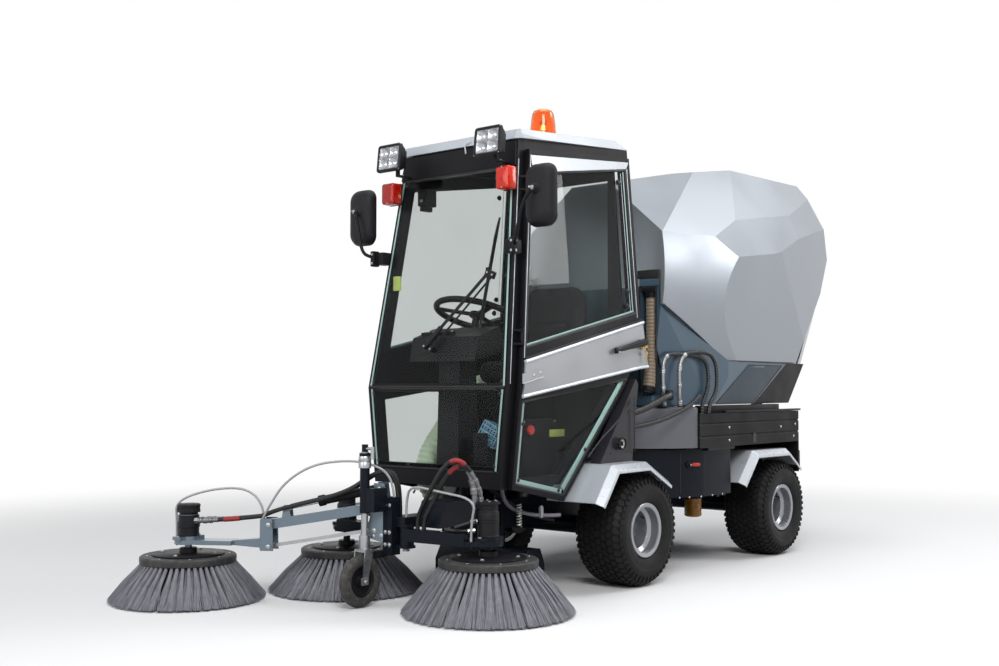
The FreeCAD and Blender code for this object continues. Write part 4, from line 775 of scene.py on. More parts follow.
def rim(name, y, side):
    """Wheel nuts, hub cap, valve and bead rings on the CAD rim"""
    piece = Piece("rim")
    centre = Vector((side * WHEEL_X, y, WHEEL_R))
    disc = centre + Vector((side * -22.0, 0, 0))
    out = (side, 0, 0)
    piece.lathe([(80, 0), (70, 5), (56, 6), (50, 3), (40, 3), (36, 8), (31, 8)], disc, out, 40)
    piece.lathe([(118, 102), (121.5, 104), (122.5, 107.5), (120, 110), (114, 109), (106, 106)],
                centre, out, 56)
    piece.use("steel")
    nut = [(0, 0), (11, 0), (11, 3), (9.5, 6), (9.5, 15), (7, 18), (4.5, 18), (4.5, 27), (0, 27)]
    for a in circle(5, 0.3):
        piece.lathe(nut, disc + Vector((0, math.cos(a), math.sin(a))) * 60.0, out, 6)
    piece.lathe([(0, 26), (14, 26), (17, 22), (17, 10)], disc, out, 18)
    valve = centre + Vector((side * 40.0, 60.0, 52.0))
    bends = [valve, valve + Vector((side * 10, -6, -4)), valve + Vector((side * 28, -10, -7))]
    piece.use("hose").tube(bends, 3.6, 8)
    piece.done("rim_detail_" + name, "wheel_" + name, slot="rim", smooth=35)


for end, y in (("front", 0.0), ("rear", REAR_Y)):
    for hand, side in (("left", 1), ("right", -1)):
        tyre(end + "_" + hand, y, side)
        rim(end + "_" + hand, y, side)


# Fenders

def offset_line(points, depth):
    """A (y, z) line moved inwards, with its corners kept sharp"""
    points = [Vector(p) for p in points]
    made = []
    for i, point in enumerate(points):
        ends = points[max(i - 1, 0):i + 2]
        normals = [Vector(((b - a).normalized().y, -(b - a).normalized().x)) for a, b in zip(ends, ends[1:])]
        inward = sum(normals, Vector((0, 0))).normalized()
        made.append(point + inward * depth / max(0.3, inward.dot(normals[0])))
    return made


def fender(name, wheel_y, outline, body, replaced):
    """Both bent fender sheets of an axle. The lip is the section's sloping side and its outer edge, in a
    lighter silver as a painted highlight
    """
    piece = Piece("silver")
    line = [(wheel_y + y, z) for y, z in outline]
    section = [(268, 0), (529, 0), (560, 25), (560, 38), (556, 38), (556, 27), (527, 4), (268, 4)]
    lip = (1, 2)
    depths = {d: offset_line(line, d) for _, d in section}
    rings = [[Vector((x, *depths[d][i])) for x, d in section] for i in range(len(line))]
    n = len(section)
    verts = [v for ring in rings for v in ring]
    sides = [(a + j, a + (j + 1) % n, a + n + (j + 1) % n, a + n + j)
             for a in range(0, n * (len(line) - 1), n) for j in range(n)]
    piece.add(verts, sides + [tuple(range(n)), tuple(range(len(verts) - n, len(verts)))])
    # The lip takes the lighter silver: a painted highlight along the bent edge
    piece.use("highlight_silver")
    for k, face in enumerate(piece.bm.faces):
        if len(face.verts) == 4 and k % n in lip:
            face.material_index = piece.slot
    bmesh.ops.recalc_face_normals(piece.bm, faces=piece.bm.faces)
    sharp = [e for e in piece.bm.edges if len(e.link_faces) == 2 and e.calc_face_angle() > 0.2]
    bmesh.ops.bevel(piece.bm, geom=sharp, offset=1.4, segments=2, affect="EDGES")
    piece.mirror().done(name, body, [replaced], "silver", smooth=25)


FRONT_FENDER = [(-412, 400), (-290, 556), (-20, 558), (165, 462)]
REAR_FENDER = [(-498, 412), (-350, 566), (22, 564), (168, 470)]
fender("front_fender_sheets", 0.0, FRONT_FENDER, "front", "front_fenders")
fender("rear_fender_sheets", REAR_Y, REAR_FENDER, "rear", "rear_fenders")


# Brushes

SHAFT_R = 15.0
TUFTS = 52


def brush(name, node_name, centre, tip_r, ring_z):
    """Steel disc and bolted ring over tufts of flaring bristles, with a black cone inside the tufts as
    painted shade
    """
    x, y = centre
    top = ring_z + 16.0
    low = ring_z - 14
    bore = SHAFT_R + 0.5
    piece = Piece("ring")
    piece.lathe([(132, top - 2), (134, top + 1), (193, top), (199, top - 5), (200, top - 10),
                 (199, ring_z - 12), (194, ring_z - 16), (136, ring_z - 16), (131, ring_z - 10)],
                (x, y, 0), UP, 72, closed=True)
    piece.use("black")
    piece.lathe([(bore, top + 30), (34, top + 30), (36, top + 28), (38, top + 11), (44, top + 8),
                 (147, top + 8), (150, top + 6), (150, top + 1), (bore, top + 1)],
                (x, y, 0), UP, 64, closed=True)
    piece.use("steel")
    for spot in spots(x, y, top + 8, 118, 4, 0.5):
        piece.bolt(spot, UP, 8.5)
    for spot in spots(x, y, top, 168, 8, 0.2):
        piece.dome(spot, UP, 5)
    piece.done(name + "_disc", name, [node_name], "bristle", smooth=35)
    # Closed cone in the ring's black inside the tufts: painted shade among the bristles, which also keeps
    # the floor from showing through them
    strands = Piece("bristle").use("ring")
    strands.lathe([(146, low), (tip_r - 82, 26), (tip_r - 88, 24), (138, low)],
                  (x, y, 0), UP, 64, closed=True)
    strands.use("bristle")
    for rank, share, root_r, tip in ((0, 58, 186.0, tip_r), (1, 36, 158.0, tip_r - 30)):
        for a0 in (2 * math.pi * (i + 0.5 * rank) / TUFTS for i in range(TUFTS)):
            for _ in range(share):
                spread = max(-0.95, min(0.95, rng.gauss(0, 0.42)))
                a1 = a0 + spread * math.pi / TUFTS * 1.15
                root = root_r + rng.uniform(-9, 9)
                root_a = a0 + rng.uniform(-0.35, 0.35) * math.pi / TUFTS
                tip_at = tip + rng.uniform(-26, 0) - abs(rng.gauss(0, 6))
                tip_z = 4.0 + abs(rng.gauss(0, 3.5))
                sag = rng.uniform(0.0, 7.0)
                wide = rng.uniform(1.5, 2.2)
                out = Vector((math.cos(a1), math.sin(a1), 0.9)).normalized()
                across = Vector((-math.sin(a1), math.cos(a1), 0))
                rings = []
                for t, w in ((0.0, wide), (0.5, wide), (1.0, wide * 0.75)):
                    bow = math.sin(math.pi * t)
                    r = root + (tip_at - root) * t + sag * bow
                    a = root_a + (a1 - root_a) * t + rng.uniform(-0.004, 0.004)
                    z = low + (tip_z - low) * t + 0.4 * sag * bow
                    point = Vector((x + r * math.cos(a), y + r * math.sin(a), z))
                    rings.append([point + across * w, point + out * w * 0.8, point - across * w])
                strands.skin(rings, caps=False)
    strands.done(name + "_bristles", name, slot="bristle", smooth=80)


LEFT_BRUSH = (380, -930)
RIGHT_BRUSH = (-470, -900)
THIRD_BRUSH = (-801, -1497)
brush("left_brush", "brush_left", LEFT_BRUSH, 350.0, 200.0)
brush("right_brush", "brush_right", RIGHT_BRUSH, 345.0, 170.0)
brush("third_brush", "brush_third", THIRD_BRUSH, 328.0, 170.0)


# Cab surfaces, from the slopes in the part's source

BELT_Z = 889


def side_x(z):
    return 405 - 0.0735 * (z - BELT_Z) if z > BELT_Z else 405 - 0.11 * (BELT_Z - z)


def front_y(z):
    return -835 + 158 * max(0.0, z - BELT_Z) / 1048


def on_screen(x, z, out=0.0):
    """Point in front of the windscreen's frame"""
    return Vector((x, front_y(z) - out, z))


def on_door(y, z, out=0.0):
    """Point on the left door's outer skin, or that far outside it"""
    return Vector((side_x(z) + 28 + out, y, z))


def windscreen_trim():
    piece = Piece("seal")
    for z in (915, 1350, 1795):
        piece.dome(on_screen(side_x(z) - 32, z, 5), (0, -1, 0.15), 8)
    for x, z in ((side_x(865) - 36, 865), (side_x(570) - 36, 570), (150, 560)):
        piece.dome(on_screen(x, z, 5), AHEAD, 8)
    piece.use("strip")
    for z0, z1, inset in ((897, 1814, 21), (550, 882, 27)):
        ends = [on_screen(side_x(z) - inset, z, 5.4) for z in (z0, z1)]
        piece.rail(*ends, LEFT, 9, 1.2, 0.5)
    # Thin strip of lighter silver along each pillar's edge: a painted highlight
    ends = [(side_x(z) + 0.6, front_y(z) + 9, z) for z in (905, 1850)]
    piece.use("highlight_silver").rail(*ends, BACK, 3.5, 1.6, 0.6)
    piece.mirror()
    piece.use("seal")
    for z, half, out, tall, thick, corner in ((893, side_x(893) - 18, 5.6, 7, 2.4, 1),
                                              (1818, side_x(1818) - 18, 5.6, 7, 2.4, 1),
                                              (884, 340, 5.6, 5, 2.0, 0.8), (547, 330, 5.6, 6, 2.0, 0.8)):
        piece.rail(on_screen(-half, z, out), on_screen(half, z, out), UP, tall, thick, corner)
    piece.use("highlight_silver").tube([(48, -694, 1912), (48, -700, 1938), (58, -698, 1951), (74, -690, 1954)],
                             3.2, 8)
    piece.bolt((48, -694, 1908), (0, -1, 0.15), 4)
    piece.done("windscreen_trim", "front", slot="black_frame", smooth=35)


def work_lamps():
    """Square lamps with four bowls each behind a clear lens, on their brackets"""
    piece = Piece("plastic")
    piece.stack([(116, 96, 8, -10), (121, 101, 9, -33), (134, 114, 12, -35.5), (144, 124, 14, -31),
                 (144, 124, 14, -19), (136, 116, 14, -13), (122, 102, 16, 10), (90, 74, 14, 31),
                 (72, 58, 12, 35)],
                (0, 0, 0))
    for k in range(-3, 4):
        piece.box(k * 15 - 1.5, k * 15 + 1.5, 12, 33, -40, 40, bevel=1)
    for x in (-29.5, 29.5):
        for z in (-24.5, 24.5):
            piece.use("bowl").stack([(58, 48.5, 5, -28), (54, 45, 14, -26), (46, 43, 21, -22),
                                     (36, 36, 18, -17), (22, 22, 11, -13), (9, 9, 4.5, -11.5)], (x, 0, z),
                                    caps="end")
            piece.use("white").dome((x, -13, z), AHEAD, 5.5, 0.9)
    piece.use("clear").stack([(120, 100, 8, -28.5), (120, 100, 8, -31)], (0, 0, 0))
    piece.use("steel")
    for x in (-66, 66):
        for z in (-56, 56):
            piece.dome((x, -32, z), AHEAD, 3)
    piece.place(Matrix.Translation((287, -800, 1905)) @ turned(-6, "X", 4))
    piece.use("plastic").box(275, 299, -772, -698, 1831, 1839, 2)
    piece.box(277, 297, -778, -768, 1831, 1882, 2)
    piece.use("steel").bolt((287, -745, 1839), UP, 7)
    piece.mirror().done("work_lamps", "front", ["front_lamps"], "lamp")


def marker_lamp(name, side, core):
    """Ribbed coloured lens over a reflector, on a black foot"""
    x, y, z = centre = (side * 334, -765, 1757)
    base = Piece("plastic")
    base.stack([(66, 88, 6, 26), (76, 98, 8, 24), (76, 98, 8, 29), (60, 80, 6, 30)], centre)
    base.box(x - 7, x + 7, -740, front_y(1780) + 1, 1742, 1780, 1)
    base.use(core).stack([(62, 84, 5, 23.5), (60, 82, 5, -18), (52, 74, 6, -22)], centre)
    for rib in (x + k * 6.4 for k in range(-4, 5)):
        base.box(rib - 1.3, rib + 1.3, -790, -784, z - 38, z + 38, 0.6)
    for rib in (y + k * 8.0 for k in range(-2, 3)):
        base.box(x - 33, x + 33, rib - 1.3, rib + 1.3, z - 38, z + 38, 0.6)
    base.use("steel")
    for dz in (-43, 43):
        base.dome((x, y - 29.5, z + dz), AHEAD, 3)
    base.done(name + "_base", "front", slot="red_lens")
    lens = Piece("marker").stack([(72, 94, 7, 24), (74, 96, 9, 10), (72, 94, 9, -22), (66, 88, 9, -28),
                                  (58, 80, 8, -29.5)], centre)
    lens.done(name + "_lens", "front", slot="red_lens")


def beacon_light():
    """Amber lens over a bulb and reflector on a black foot"""
    place = (0, -83, 2028)
    foot = Piece("plastic")
    foot.lathe([(0, -6), (66, -6), (70, -2), (70, 8), (66, 13), (56, 15), (56, 22), (0, 22)], place, UP, 48)
    foot.use("chrome")
    foot.lathe([(0, 22), (12, 23), (24, 30), (34, 44), (39, 62), (41, 80), (39.5, 80), (37, 62), (32, 45),
                (22, 32), (10, 26), (0, 25)], place)
    foot.lathe([(16, 118), (18, 122), (20, 130), (0, 134)], place, UP, 24)
    foot.use("bulb").lathe([(0, 60), (9, 62), (12, 72), (12, 100), (8, 112), (0, 114)], place, UP, 20)
    foot.done("beacon_foot", "front", slot="amber")
    outer = [(66, 15), (65, 40), (62, 80), (58, 120), (54, 152), (50, 168), (42, 180), (28, 186), (0, 188)]
    inner = [(0, 184), (26, 182), (38, 176), (46, 165), (50, 150), (54, 120), (58, 80), (61, 40), (62, 15)]
    lens = Piece("amber").lathe(outer + inner, place, UP, 96, closed=True, flute=0.9)
    lens.done("beacon_lens", "front", ["beacon"], "amber", smooth=50)


def mirror_pair():
    """Rounded black shells with glass behind, on bent arms clamped to the pillars"""
    centre = (518, 0, 1667)
    piece = Piece("plastic")
    piece.stack([(130, 244, 38, -752), (142, 256, 44, -749), (144, 258, 46, -756), (140, 254, 46, -770),
                 (124, 238, 46, -788), (98, 212, 42, -799), (64, 176, 30, -803)], centre, count=9)
    piece.lathe([(24, -2), (22, 8), (17, 12), (17, 20), (14, 24), (0, 24)], (518, -801, 1690), AHEAD, 24)
    piece.use("mirror").stack([(128, 242, 37, -751), (128, 242, 37, -749.5)], centre, count=9)
    piece.use("black")
    piece.tube(course([(398, -775, 1470), (425, -822, 1478), (446, -838, 1500), (462, -839, 1560),
                       (480, -836, 1630), (498, -828, 1668), (518, -818, 1690)], 8), 7.5, 12)
    piece.box(392, 416, -818, -782, 1432, 1502, 5)
    piece.box(352, 400, -800, -744, 1439, 1495, 4)
    piece.use("steel").bolt((518, -825, 1690), AHEAD, 8)
    piece.bar((518, -838, 1690), (518, -845, 1690), 4.5)
    for z in (1447, 1487):
        piece.bolt((404, -818, z), AHEAD, 5)
        piece.bolt((416, -800, z), LEFT, 5)
    piece.mirror().done("mirror_shells", "front", ["mirrors"], "black_plastic")


def wiper_arms():
    """Pantograph wiper: two parallel arms and a bridged blade"""
    piece = Piece("plastic")
    pivot = on_screen(-65, 1066, 20)
    slave = on_screen(-28, 1052, 20)
    elbow = on_screen(253, 1367, 20)
    slip = Vector((26, 0, -12))
    slant = (0.7, 0, -0.7)
    facing = (0, -1, 0.15)
    piece.rail(pivot, elbow, slant, 15, 5, 2)
    piece.rail(slave, elbow + slip, slant, 9, 5, 2)
    piece.rail(pivot, pivot.lerp(elbow, 0.26), slant, 22, 12, 3)
    for spot in (pivot, slave):
        piece.lathe([(0, -20), (12, -20), (13, 2), (11, 7), (0, 8)], spot, facing, 20)
    piece.block((52, 14, 30), elbow + Vector((12, 0, -6)), turned(24, "Y"), 3)
    low = on_screen(229, 1134, 17)
    tip = on_screen(277, 1600, 17)
    piece.rail(low.lerp(tip, 0.16), low.lerp(tip, 0.84), LEFT, 7, 9, 2)
    for a, b in ((0.03, 0.195), (0.36, 0.195), (0.64, 0.805), (0.97, 0.805)):
        ends = [low.lerp(tip, a) + Vector((0, 4, 0)), low.lerp(tip, b) + Vector((0, -3, 0))]
        piece.rail(*(ends if a < b else reversed(ends)), LEFT, 6, 5, 1.5)
    piece.block((16, 16, 44), low.lerp(tip, 0.5) + Vector((0, -4, 0)), None, 3)
    piece.use("steel")
    for spot in (pivot, slave, elbow, elbow + slip):
        piece.bolt(spot + Vector((0, -7, 1)), facing, 5, washer=False)
    piece.use("seal")
    for out, width, thick, corner in ((9, 9, 6, 1.5), (7, 2.5, 4, 0.8)):
        piece.rail(on_screen(229, 1134, out), on_screen(277, 1600, out), LEFT, width, thick, corner)
    piece.done("wiper_arms", "front", ["wiper"], "black_plastic")


UPPER_WINDOW = [(-742, 1052), (-632, 1790), (84, 1905), (92, 1232)]
LOWER_WINDOW = [(-774, 832), (-774, 497), (-440, 430), (-22, 926)]
HANDLE = [((-132, 1050), 17, 9), ((-122, 1052), 23, 14), ((-60, 1065), 26, 17), ((60, 1089), 32, 19),
          ((112, 1099), 34, 20), ((124, 1102), 26, 14)]


def door_dress(side):
    """Trims, seals, handle, lock, hinge pins, glass strips and bolts of one door, the trims in a lighter
    silver as a painted highlight
    """
    piece = Piece("highlight_silver")

    def strips(*rows):
        for a, b, out, wide, width, thick, corner in rows:
            piece.rail(on_door(*a, out), on_door(*b, out), wide, width, thick, corner)

    # The belt tubes and the thin strips along the window edges are in the lighter silver: painted highlights
    for a, b in (((-760, 994), (134, 1191)), ((-782, 853), (80, 980)), ((80, 980), (150, 986))):
        piece.tube([on_door(*a, 8), on_door(*b, 8)], 8, 16)
    strips(((-757, 1010), (-633, 1872), 0.6, BACK, 4, 1.6, 0.6),
           ((100, 1212), (94, 1912), 0.6, BACK, 4, 1.6, 0.6),
           ((-788, 905), (-652, 934), 13.6, (0, 0.1, 1), 3, 1.2, 0.5),
           ((-424, 452), (-28, 921), -5.8, BACK, 4, 1.4, 0.5),
           ((58, 1240), (50, 1888), -6.8, BACK, 3, 1.4, 0.5))
    piece.use("strip")
    strips(((-763, 826), (-763, 503), -7.2, AHEAD, 24, 2.0, 0.6),
           ((-765, 508), (-447, 443), -7.2, (0, -65, -318), 24, 2.0, 0.6),
           ((-436, 452), (-40, 922), -7.2, (0, 470, -396), 40, 2.0, 0.6),
           ((-731, 1075), (-626, 1780), -7.4, BACK, 8, 1.6, 0.5),
           ((-735, 1062), (86, 1243), -7.4, UP, 9, 1.6, 0.5),
           ((78, 1240), (72, 1896), -7.4, BACK, 9, 1.6, 0.5))
    piece.use("steel")
    for y, z in ((-716, 939), (-672, 950)):
        piece.dome(on_door(y, z, 13.2), (1, 0, 0.07), 7)
    piece.use("seal")
    for window in (UPPER_WINDOW, LOWER_WINDOW):
        for a, b in zip(window, window[1:] + window[:1]):
            piece.tube([on_door(*a, -4), on_door(*b, -4)], 6, 10)
    strips(((-757, 1009), (132, 1205), 9, (0, 0.2, 1), 6, 3, 1))
    for y, z in ((-752, 742), (-748, 512), (-468, 452), (-92, 842), (-300, 620)):
        piece.dome(on_door(y, z, -6.4), LEFT, 9)
        piece.dome(on_door(y, z, -3.2), LEFT, 5)
    for y, z in ((40, 1330), (30, 1262), (20, 1840)):
        piece.lathe([(0, 0), (13, 0), (13, 4), (8, 6), (8, 12), (0, 13)], on_door(y, z, -8), LEFT, 16)
    piece.use("plastic").skin([ring(tall, thick, thick * 0.42, on_door(y, z, 29), (0, -0.2, 1), LEFT)
                               for (y, z), tall, thick in HANDLE])
    for y, z in ((-99, 1055), (97, 1096)):
        piece.block((20, 32, 26), on_door(y, z, 16), None, 3)
    lock = on_door(112, 1078, 8)
    piece.use("gold").lathe([(0, 0), (12, 0), (12, 6), (9, 8), (0, 8)], lock, LEFT, 20)
    if side == "left":
        piece.block((2.4, 22, 20), lock + Vector((22, 0, 3)), None, 1)
        piece.block((2.4, 6, 5), lock + Vector((12, 0, 0)), None, 0.6)
        piece.block((2.2, 6, 34), lock + Vector((23, 4, -56)), None, 0.6)
        piece.loop(lock + Vector((24, 2, -12)), 11, 1.1, (0, 1, 0.3))
        piece.lathe([(0, 0), (11, 0), (11, 2.2), (0, 2.2)], lock + Vector((22, 4, -30)), (1, 0.2, 0), 16)
    piece.use("black")
    for z in (1095, 1745):
        share = (z - 880) / 1010
        for pin in ([(0, -34), (6.5, -34), (6.5, -21)], [(6.5, 21), (6.5, 34), (0, 36)]):
            piece.lathe(pin, (433 - 73 * share, -793 + 152 * share, z), (-0.0713, 0.148, 0.986), 16)
    if side == "right":
        piece.flip()
    piece.done("door_trim_" + side, "door_" + side, slot="silver")


windscreen_trim()
work_lamps()
marker_lamp("left_marker", 1, "core_orange")
marker_lamp("right_marker", -1, "core_red")
beacon_light()
mirror_pair()
wiper_arms()
door_dress("left")
door_dress("right")


# Inside the cab

def swell(thing, cap, voxel=0.006, frames=20):
    """Remeshes a closed pad and swells it by a short cloth run, holding each point within a cap"""
    scene = bpy.context.scene

    def bake():
        bpy.context.view_layer.update()
        mesh = bpy.data.meshes.new_from_object(thing.evaluated_get(bpy.context.evaluated_depsgraph_get()))
        thing.modifiers.clear()
        thing.data = mesh
        return mesh

    mats = list(thing.data.materials)
    remesh = thing.modifiers.new("even_mesh", "REMESH")
    remesh.mode = "VOXEL"
    remesh.voxel_size = voxel
    mesh = bake()
    start = [v.co.copy() for v in mesh.vertices]
    cloth = thing.modifiers.new("pad", "CLOTH")
    cloth.settings.quality = 4
    cloth.settings.mass = 0.3
    cloth.settings.tension_stiffness = 20
    cloth.settings.compression_stiffness = 20
    cloth.settings.bending_stiffness = 1.5
    cloth.settings.use_pressure = True
    cloth.settings.uniform_pressure_force = 4.0
    cloth.settings.effector_weights.gravity = 0.0
    cloth.point_cache.frame_start = 1
    cloth.point_cache.frame_end = frames
    for number in range(1, frames + 1):
        scene.frame_set(number)
    mesh = bake()
    for v, was in zip(mesh.vertices, start):
        push = v.co - was
        if push.length > cap:
            v.co = was + push.normalized() * cap
    scene.frame_set(1)
    mesh.materials.clear()
    for mat in mats:
        mesh.materials.append(mat)
    for face in mesh.polygons:
        face.use_smooth = True


def sew(thing, lines, depth, width):
    """Presses seams into a pad, each line given as (axis, place, from, to along the other axis)"""
    for v in thing.data.vertices:
        p = FROM_ROW @ v.co
        sink = 0.0
        for axis, place, low, high, other in lines:
            near = abs(p[axis] - place) / width
            if low <= p[other] <= high and near < 1:
                sink = max(sink, 1 - near * near)
        if sink:
            v.co -= v.normal * (depth * 0.001 * sink)


def pad(name, levels, replaces, seams, depth):
    """Padded cushion over level rounded rectangles (height, width, depth, corner, place)"""
    rings = [ring(w, d, corner, (0, y, z), LEFT, BACK, 7) for z, w, d, corner, y in levels]
    thing = Piece("seat").skin(rings).done(name, "front", replaces, "seat", smooth=35)
    swell(thing, 0.010)
    sew(thing, seams, depth, 7)
    finer = thing.modifiers.new("finer", "SUBSURF")
    finer.levels = 1
    finer.render_levels = 1


def seat_pads():
    cushion = [(917, 410, 315), (926, 432, 334), (950, 442, 343), (978, 440, 341), (994, 420, 322),
               (1001, 360, 270), (1004, 200, 150)]
    pad("seat_cushion", [(z, w, d, min(w, d) * 0.16, -167) for z, w, d in cushion], ["seat"],
        [(0, -118, -330, -10, 1), (0, 118, -330, -10, 1), (1, -170, -118, 118, 0)], 6)
    back = [(1014, 330, 40), (1024, 380, 60), (1080, 404, 68), (1180, 412, 66), (1270, 404, 60),
            (1330, 370, 54), (1362, 300, 44), (1374, 220, 30)]
    pad("seat_back", [(z, w, d, d * 0.48, -24 + 31 * (z - 1010) / 370) for z, w, d in back], (),
        [(0, -112, 1040, 1340, 2), (0, 112, 1040, 1340, 2), (2, 1190, -112, 112, 0)], 5)
    rail = Piece("black")
    rail.box(-150, 150, -300, -40, 884, 904, 4)
    for x in (-110, 110):
        rail.box(x - 16, x + 16, -310, -30, 880, 888, 2)
    rail.use("steel").tube([(-120, -312, 892), (-120, -338, 890), (120, -338, 890), (120, -312, 892)], 5, 10)
    rail.done("seat_rails", "front", slot="seat", smooth=35)


def dash_details():
    """Switches and stalk on the dash pod, and the panel with its red knob"""
    piece = Piece("plastic")
    for x in range(-150, 30, 34):
        piece.use("plastic").block((22, 12, 26), (x, -742, 1118), turned(20, "X"), 2.5)
        piece.use("white").block((8, 2, 5), (x, -748, 1131), turned(20, "X"), 0.5)
    piece.use("black").tube([(40, -590, 1120), (110, -580, 1150), (165, -575, 1168)], 6, 10)
    piece.box(205, 256, -560, -322, 446, 752, 5)
    piece.box(254, 256.6, -552, -330, 640, 740, 0.6)
    piece.use("red").lathe([(0, 0), (9, 0), (9, 10), (19, 14), (21, 20), (18, 27), (0, 29)],
                           (256, -529, 707), LEFT, 24)
    piece.use("pale").box(255, 257.4, -374, -264, 672, 704, 0.8)
    piece.use("steel")
    for y in (-548, -334):
        for z in (742, 456):
            piece.dome((256, y, z), LEFT, 4)
    piece.done("cab_controls", "front", slot="black_plastic")


def crate():
    """Open-work crate on its bracket behind the lower window"""
    piece = Piece("crate")
    for z in (0, 22, 44, 66, 84):
        for x in (-48, 48):
            piece.box(x - 1.6, x + 1.6, -34, 34, z - 3, z + 3, 0.8)
        for y in (-34, 34):
            piece.box(-48, 48, y - 1.6, y + 1.6, z - 3, z + 3, 0.8)
    for x in range(-48, 49, 16):
        for y in (-34, 34):
            piece.box(x - 2.5, x + 2.5, y - 1.6, y + 1.6, 0, 84, 0.8)
        piece.box(x - 2.5, x + 2.5, -34, 34, -2, 1, 0.8)
    for y in range(-34, 35, 17):
        for x in (-48, 48):
            piece.box(x - 1.6, x + 1.6, y - 2.5, y + 2.5, 0, 84, 0.8)
    piece.place(Matrix.Translation((196, -712, 652)) @ turned(24, "Y", 4) @ turned(-12, "X", 4))
    piece.done("cab_crate", "front", slot="black_plastic", smooth=35)
    bracket = Piece("black").box(160, 236, -770, -764, 560, 700, 1).box(160, 236, -770, -690, 640, 645, 1)
    bracket.done("crate_bracket", "front", slot="black_plastic", smooth=35)


def cab_boxes():
    """Box under the roof, and a blank label with its clips at the windscreen's right edge"""
    piece = Piece("plastic")
    piece.box(-334, -284, -596, -520, 1722, 1800, 5)
    piece.box(-326, -300, -590, -530, 1700, 1724, 3)
    piece.use("strip").box(-318, -302, -598, -595, 1740, 1752, 0.5)
    piece.use("pale").box(-330, -290, -756, -744, 1322, 1386, 2)
    piece.use("crate")
    for z in (1336, 1372):
        piece.bar((-352, -750, z), (-328, -750, z), 6)
    piece.done("cab_boxes", "front", slot="black_plastic", smooth=35)


def duct_radius(s):
    return 47.5 + 2.5 * math.sin(s * math.pi / 11)


SUCTION_ROUTE = [(-190, -475, 190), (-190, -475, 300), (-272, -585, 420), (-272, -610, 560),
                 (-272, -440, 740), (-272, -240, 930), (-272, 47, 930)]

seat_pads()
dash_details()
crate()
cab_boxes()
hose("suction_duct", SUCTION_ROUTE, 50, "front", "duct", 28, ["suction_hose"], "duct_hose",
     duct_radius, 3.6)


# Front linkage

THIRD_ROOT = Vector((-90.0, -1060.0, 0.0))
THIRD_END = Vector((*THIRD_BRUSH, 0.0))
THIRD_REACH = (THIRD_END - THIRD_ROOT).length
THIRD_DIR = (THIRD_END - THIRD_ROOT) / THIRD_REACH
THIRD_SIDE = Vector((-THIRD_DIR.y, THIRD_DIR.x, 0.0))


def along(s, z, side=0.0):
    """Point at a distance along the third arm, a height and an offset to its side"""
    return THIRD_ROOT + THIRD_DIR * s + THIRD_SIDE * side + Vector((0, 0, z))


def by_end(s, z, side=0.0):
    """The same, with the distance measured on from the third brush's shaft"""
    return along(THIRD_REACH + s, z, side)


FITTING = [(0, 9), (3, 9), (3.5, 12.5), (16, 12.5), (16.5, 10.5), (28, 10.5), (28.5, 13.5), (46, 13.5),
           (46.5, 11.5), (58, 11.5), (58.5, 13), (72, 13), (72.5, 10), (100, 10)]


def coupling(piece, line, start, length, knurl=0.35):
    """Quick coupling with hexagons and a knurled sleeve, set on a hose"""
    scale = length / 100.0

    def radius(s):
        s = s / scale
        for (s0, r0), (s1, r1) in zip(FITTING, FITTING[1:]):
            if s <= s1:
                r = r0 + (r1 - r0) * (s - s0) / max(0.01, s1 - s0)
                return (r + knurl * math.sin(s * 2.2)) * (0.9 + 0.1 * scale)
        return FITTING[-1][1]

    piece.tube(part_of(line, start, start + length), radius, 14)


LEFT_LINES = [[(328, -922, 392), (326, -900, 452), (330, -1014, 604), (260, -1048, 600), (145, -1052, 430),
               (94, -1036, 365), (94, -1036, 315.3)],
              [(328, -954, 392), (322, -940, 452), (318, -980, 580), (250, -1014, 570), (155, -1032, 400),
               (122, -1028, 352), (122, -1028, 315.3)]]
LEFT_WATER = [(30, -1036, 362.3), (30, -1036, 430), (70, -1052, 494), (210, -1042, 476), (386, -1012, 452),
              (352, -1002, 358), (352, -1002, 285.3)]
RIGHT_LINES = [[(-418, -890, 370), (-360, -896, 375), (-240, -960, 372), (-170, -966, 352),
                (-170, -966, 315.3)],
               [(-418, -920, 345), (-360, -930, 352), (-270, -980, 356), (-202, -984, 346),
                (-202, -984, 315.3)]]
THIRD_LINES = [[by_end(-42, 330, side), by_end(-150, 335, side), by_end(-260, 345, side * 0.8),
                along(515, 352, side * 0.6)] for side in (-18, 18)]
THIRD_WATER = [along(504, 340.3), along(506, 400), along(580, 470), along(740, 462), along(895, 410),
               by_end(52, 325), by_end(52, 250.3)]
BACK_LINE = [(512, 352, 0.35), (455, 376, 0.7), (360, 402, 1), (230, 432, 1), (120, 470, 1.1), (50, 520, 1),
             (0, 545, 0.8), (-50, 540, 0.6), (-76, 470, 0.45), (-76, 362.3, 0.45)]
BACK_LINES = [[along(s, z, side * share) for s, z, share in BACK_LINE] for side in (-35, 35)]
WATER_ARC = [along(500, 345, 24), along(470, 400, 30), along(400, 500, 38), along(280, 572, 44),
             along(140, 590, 44), along(40, 580, 44), along(-40, 540, 36), along(-64, 450, 30),
             along(-64, 362.3, 30)]
ARM_JOINT = (along(10, 480), along(210, 430))


def hose_fittings(name, body, routes, starts, reds):
    """Couplings and red sleeves on hoses, riding with them"""
    piece = Piece("fitting")
    for route, places, sleeves in zip(routes, starts, reds):
        line = course(route)
        piece.use("fitting")
        for place, length in places:
            coupling(piece, line, place, length)
        piece.use("sleeve")
        for place, length in sleeves:
            piece.tube(part_of(line, place, place + length), 10.2, 14)
    piece.done(name, body, slot="zinc", smooth=50)


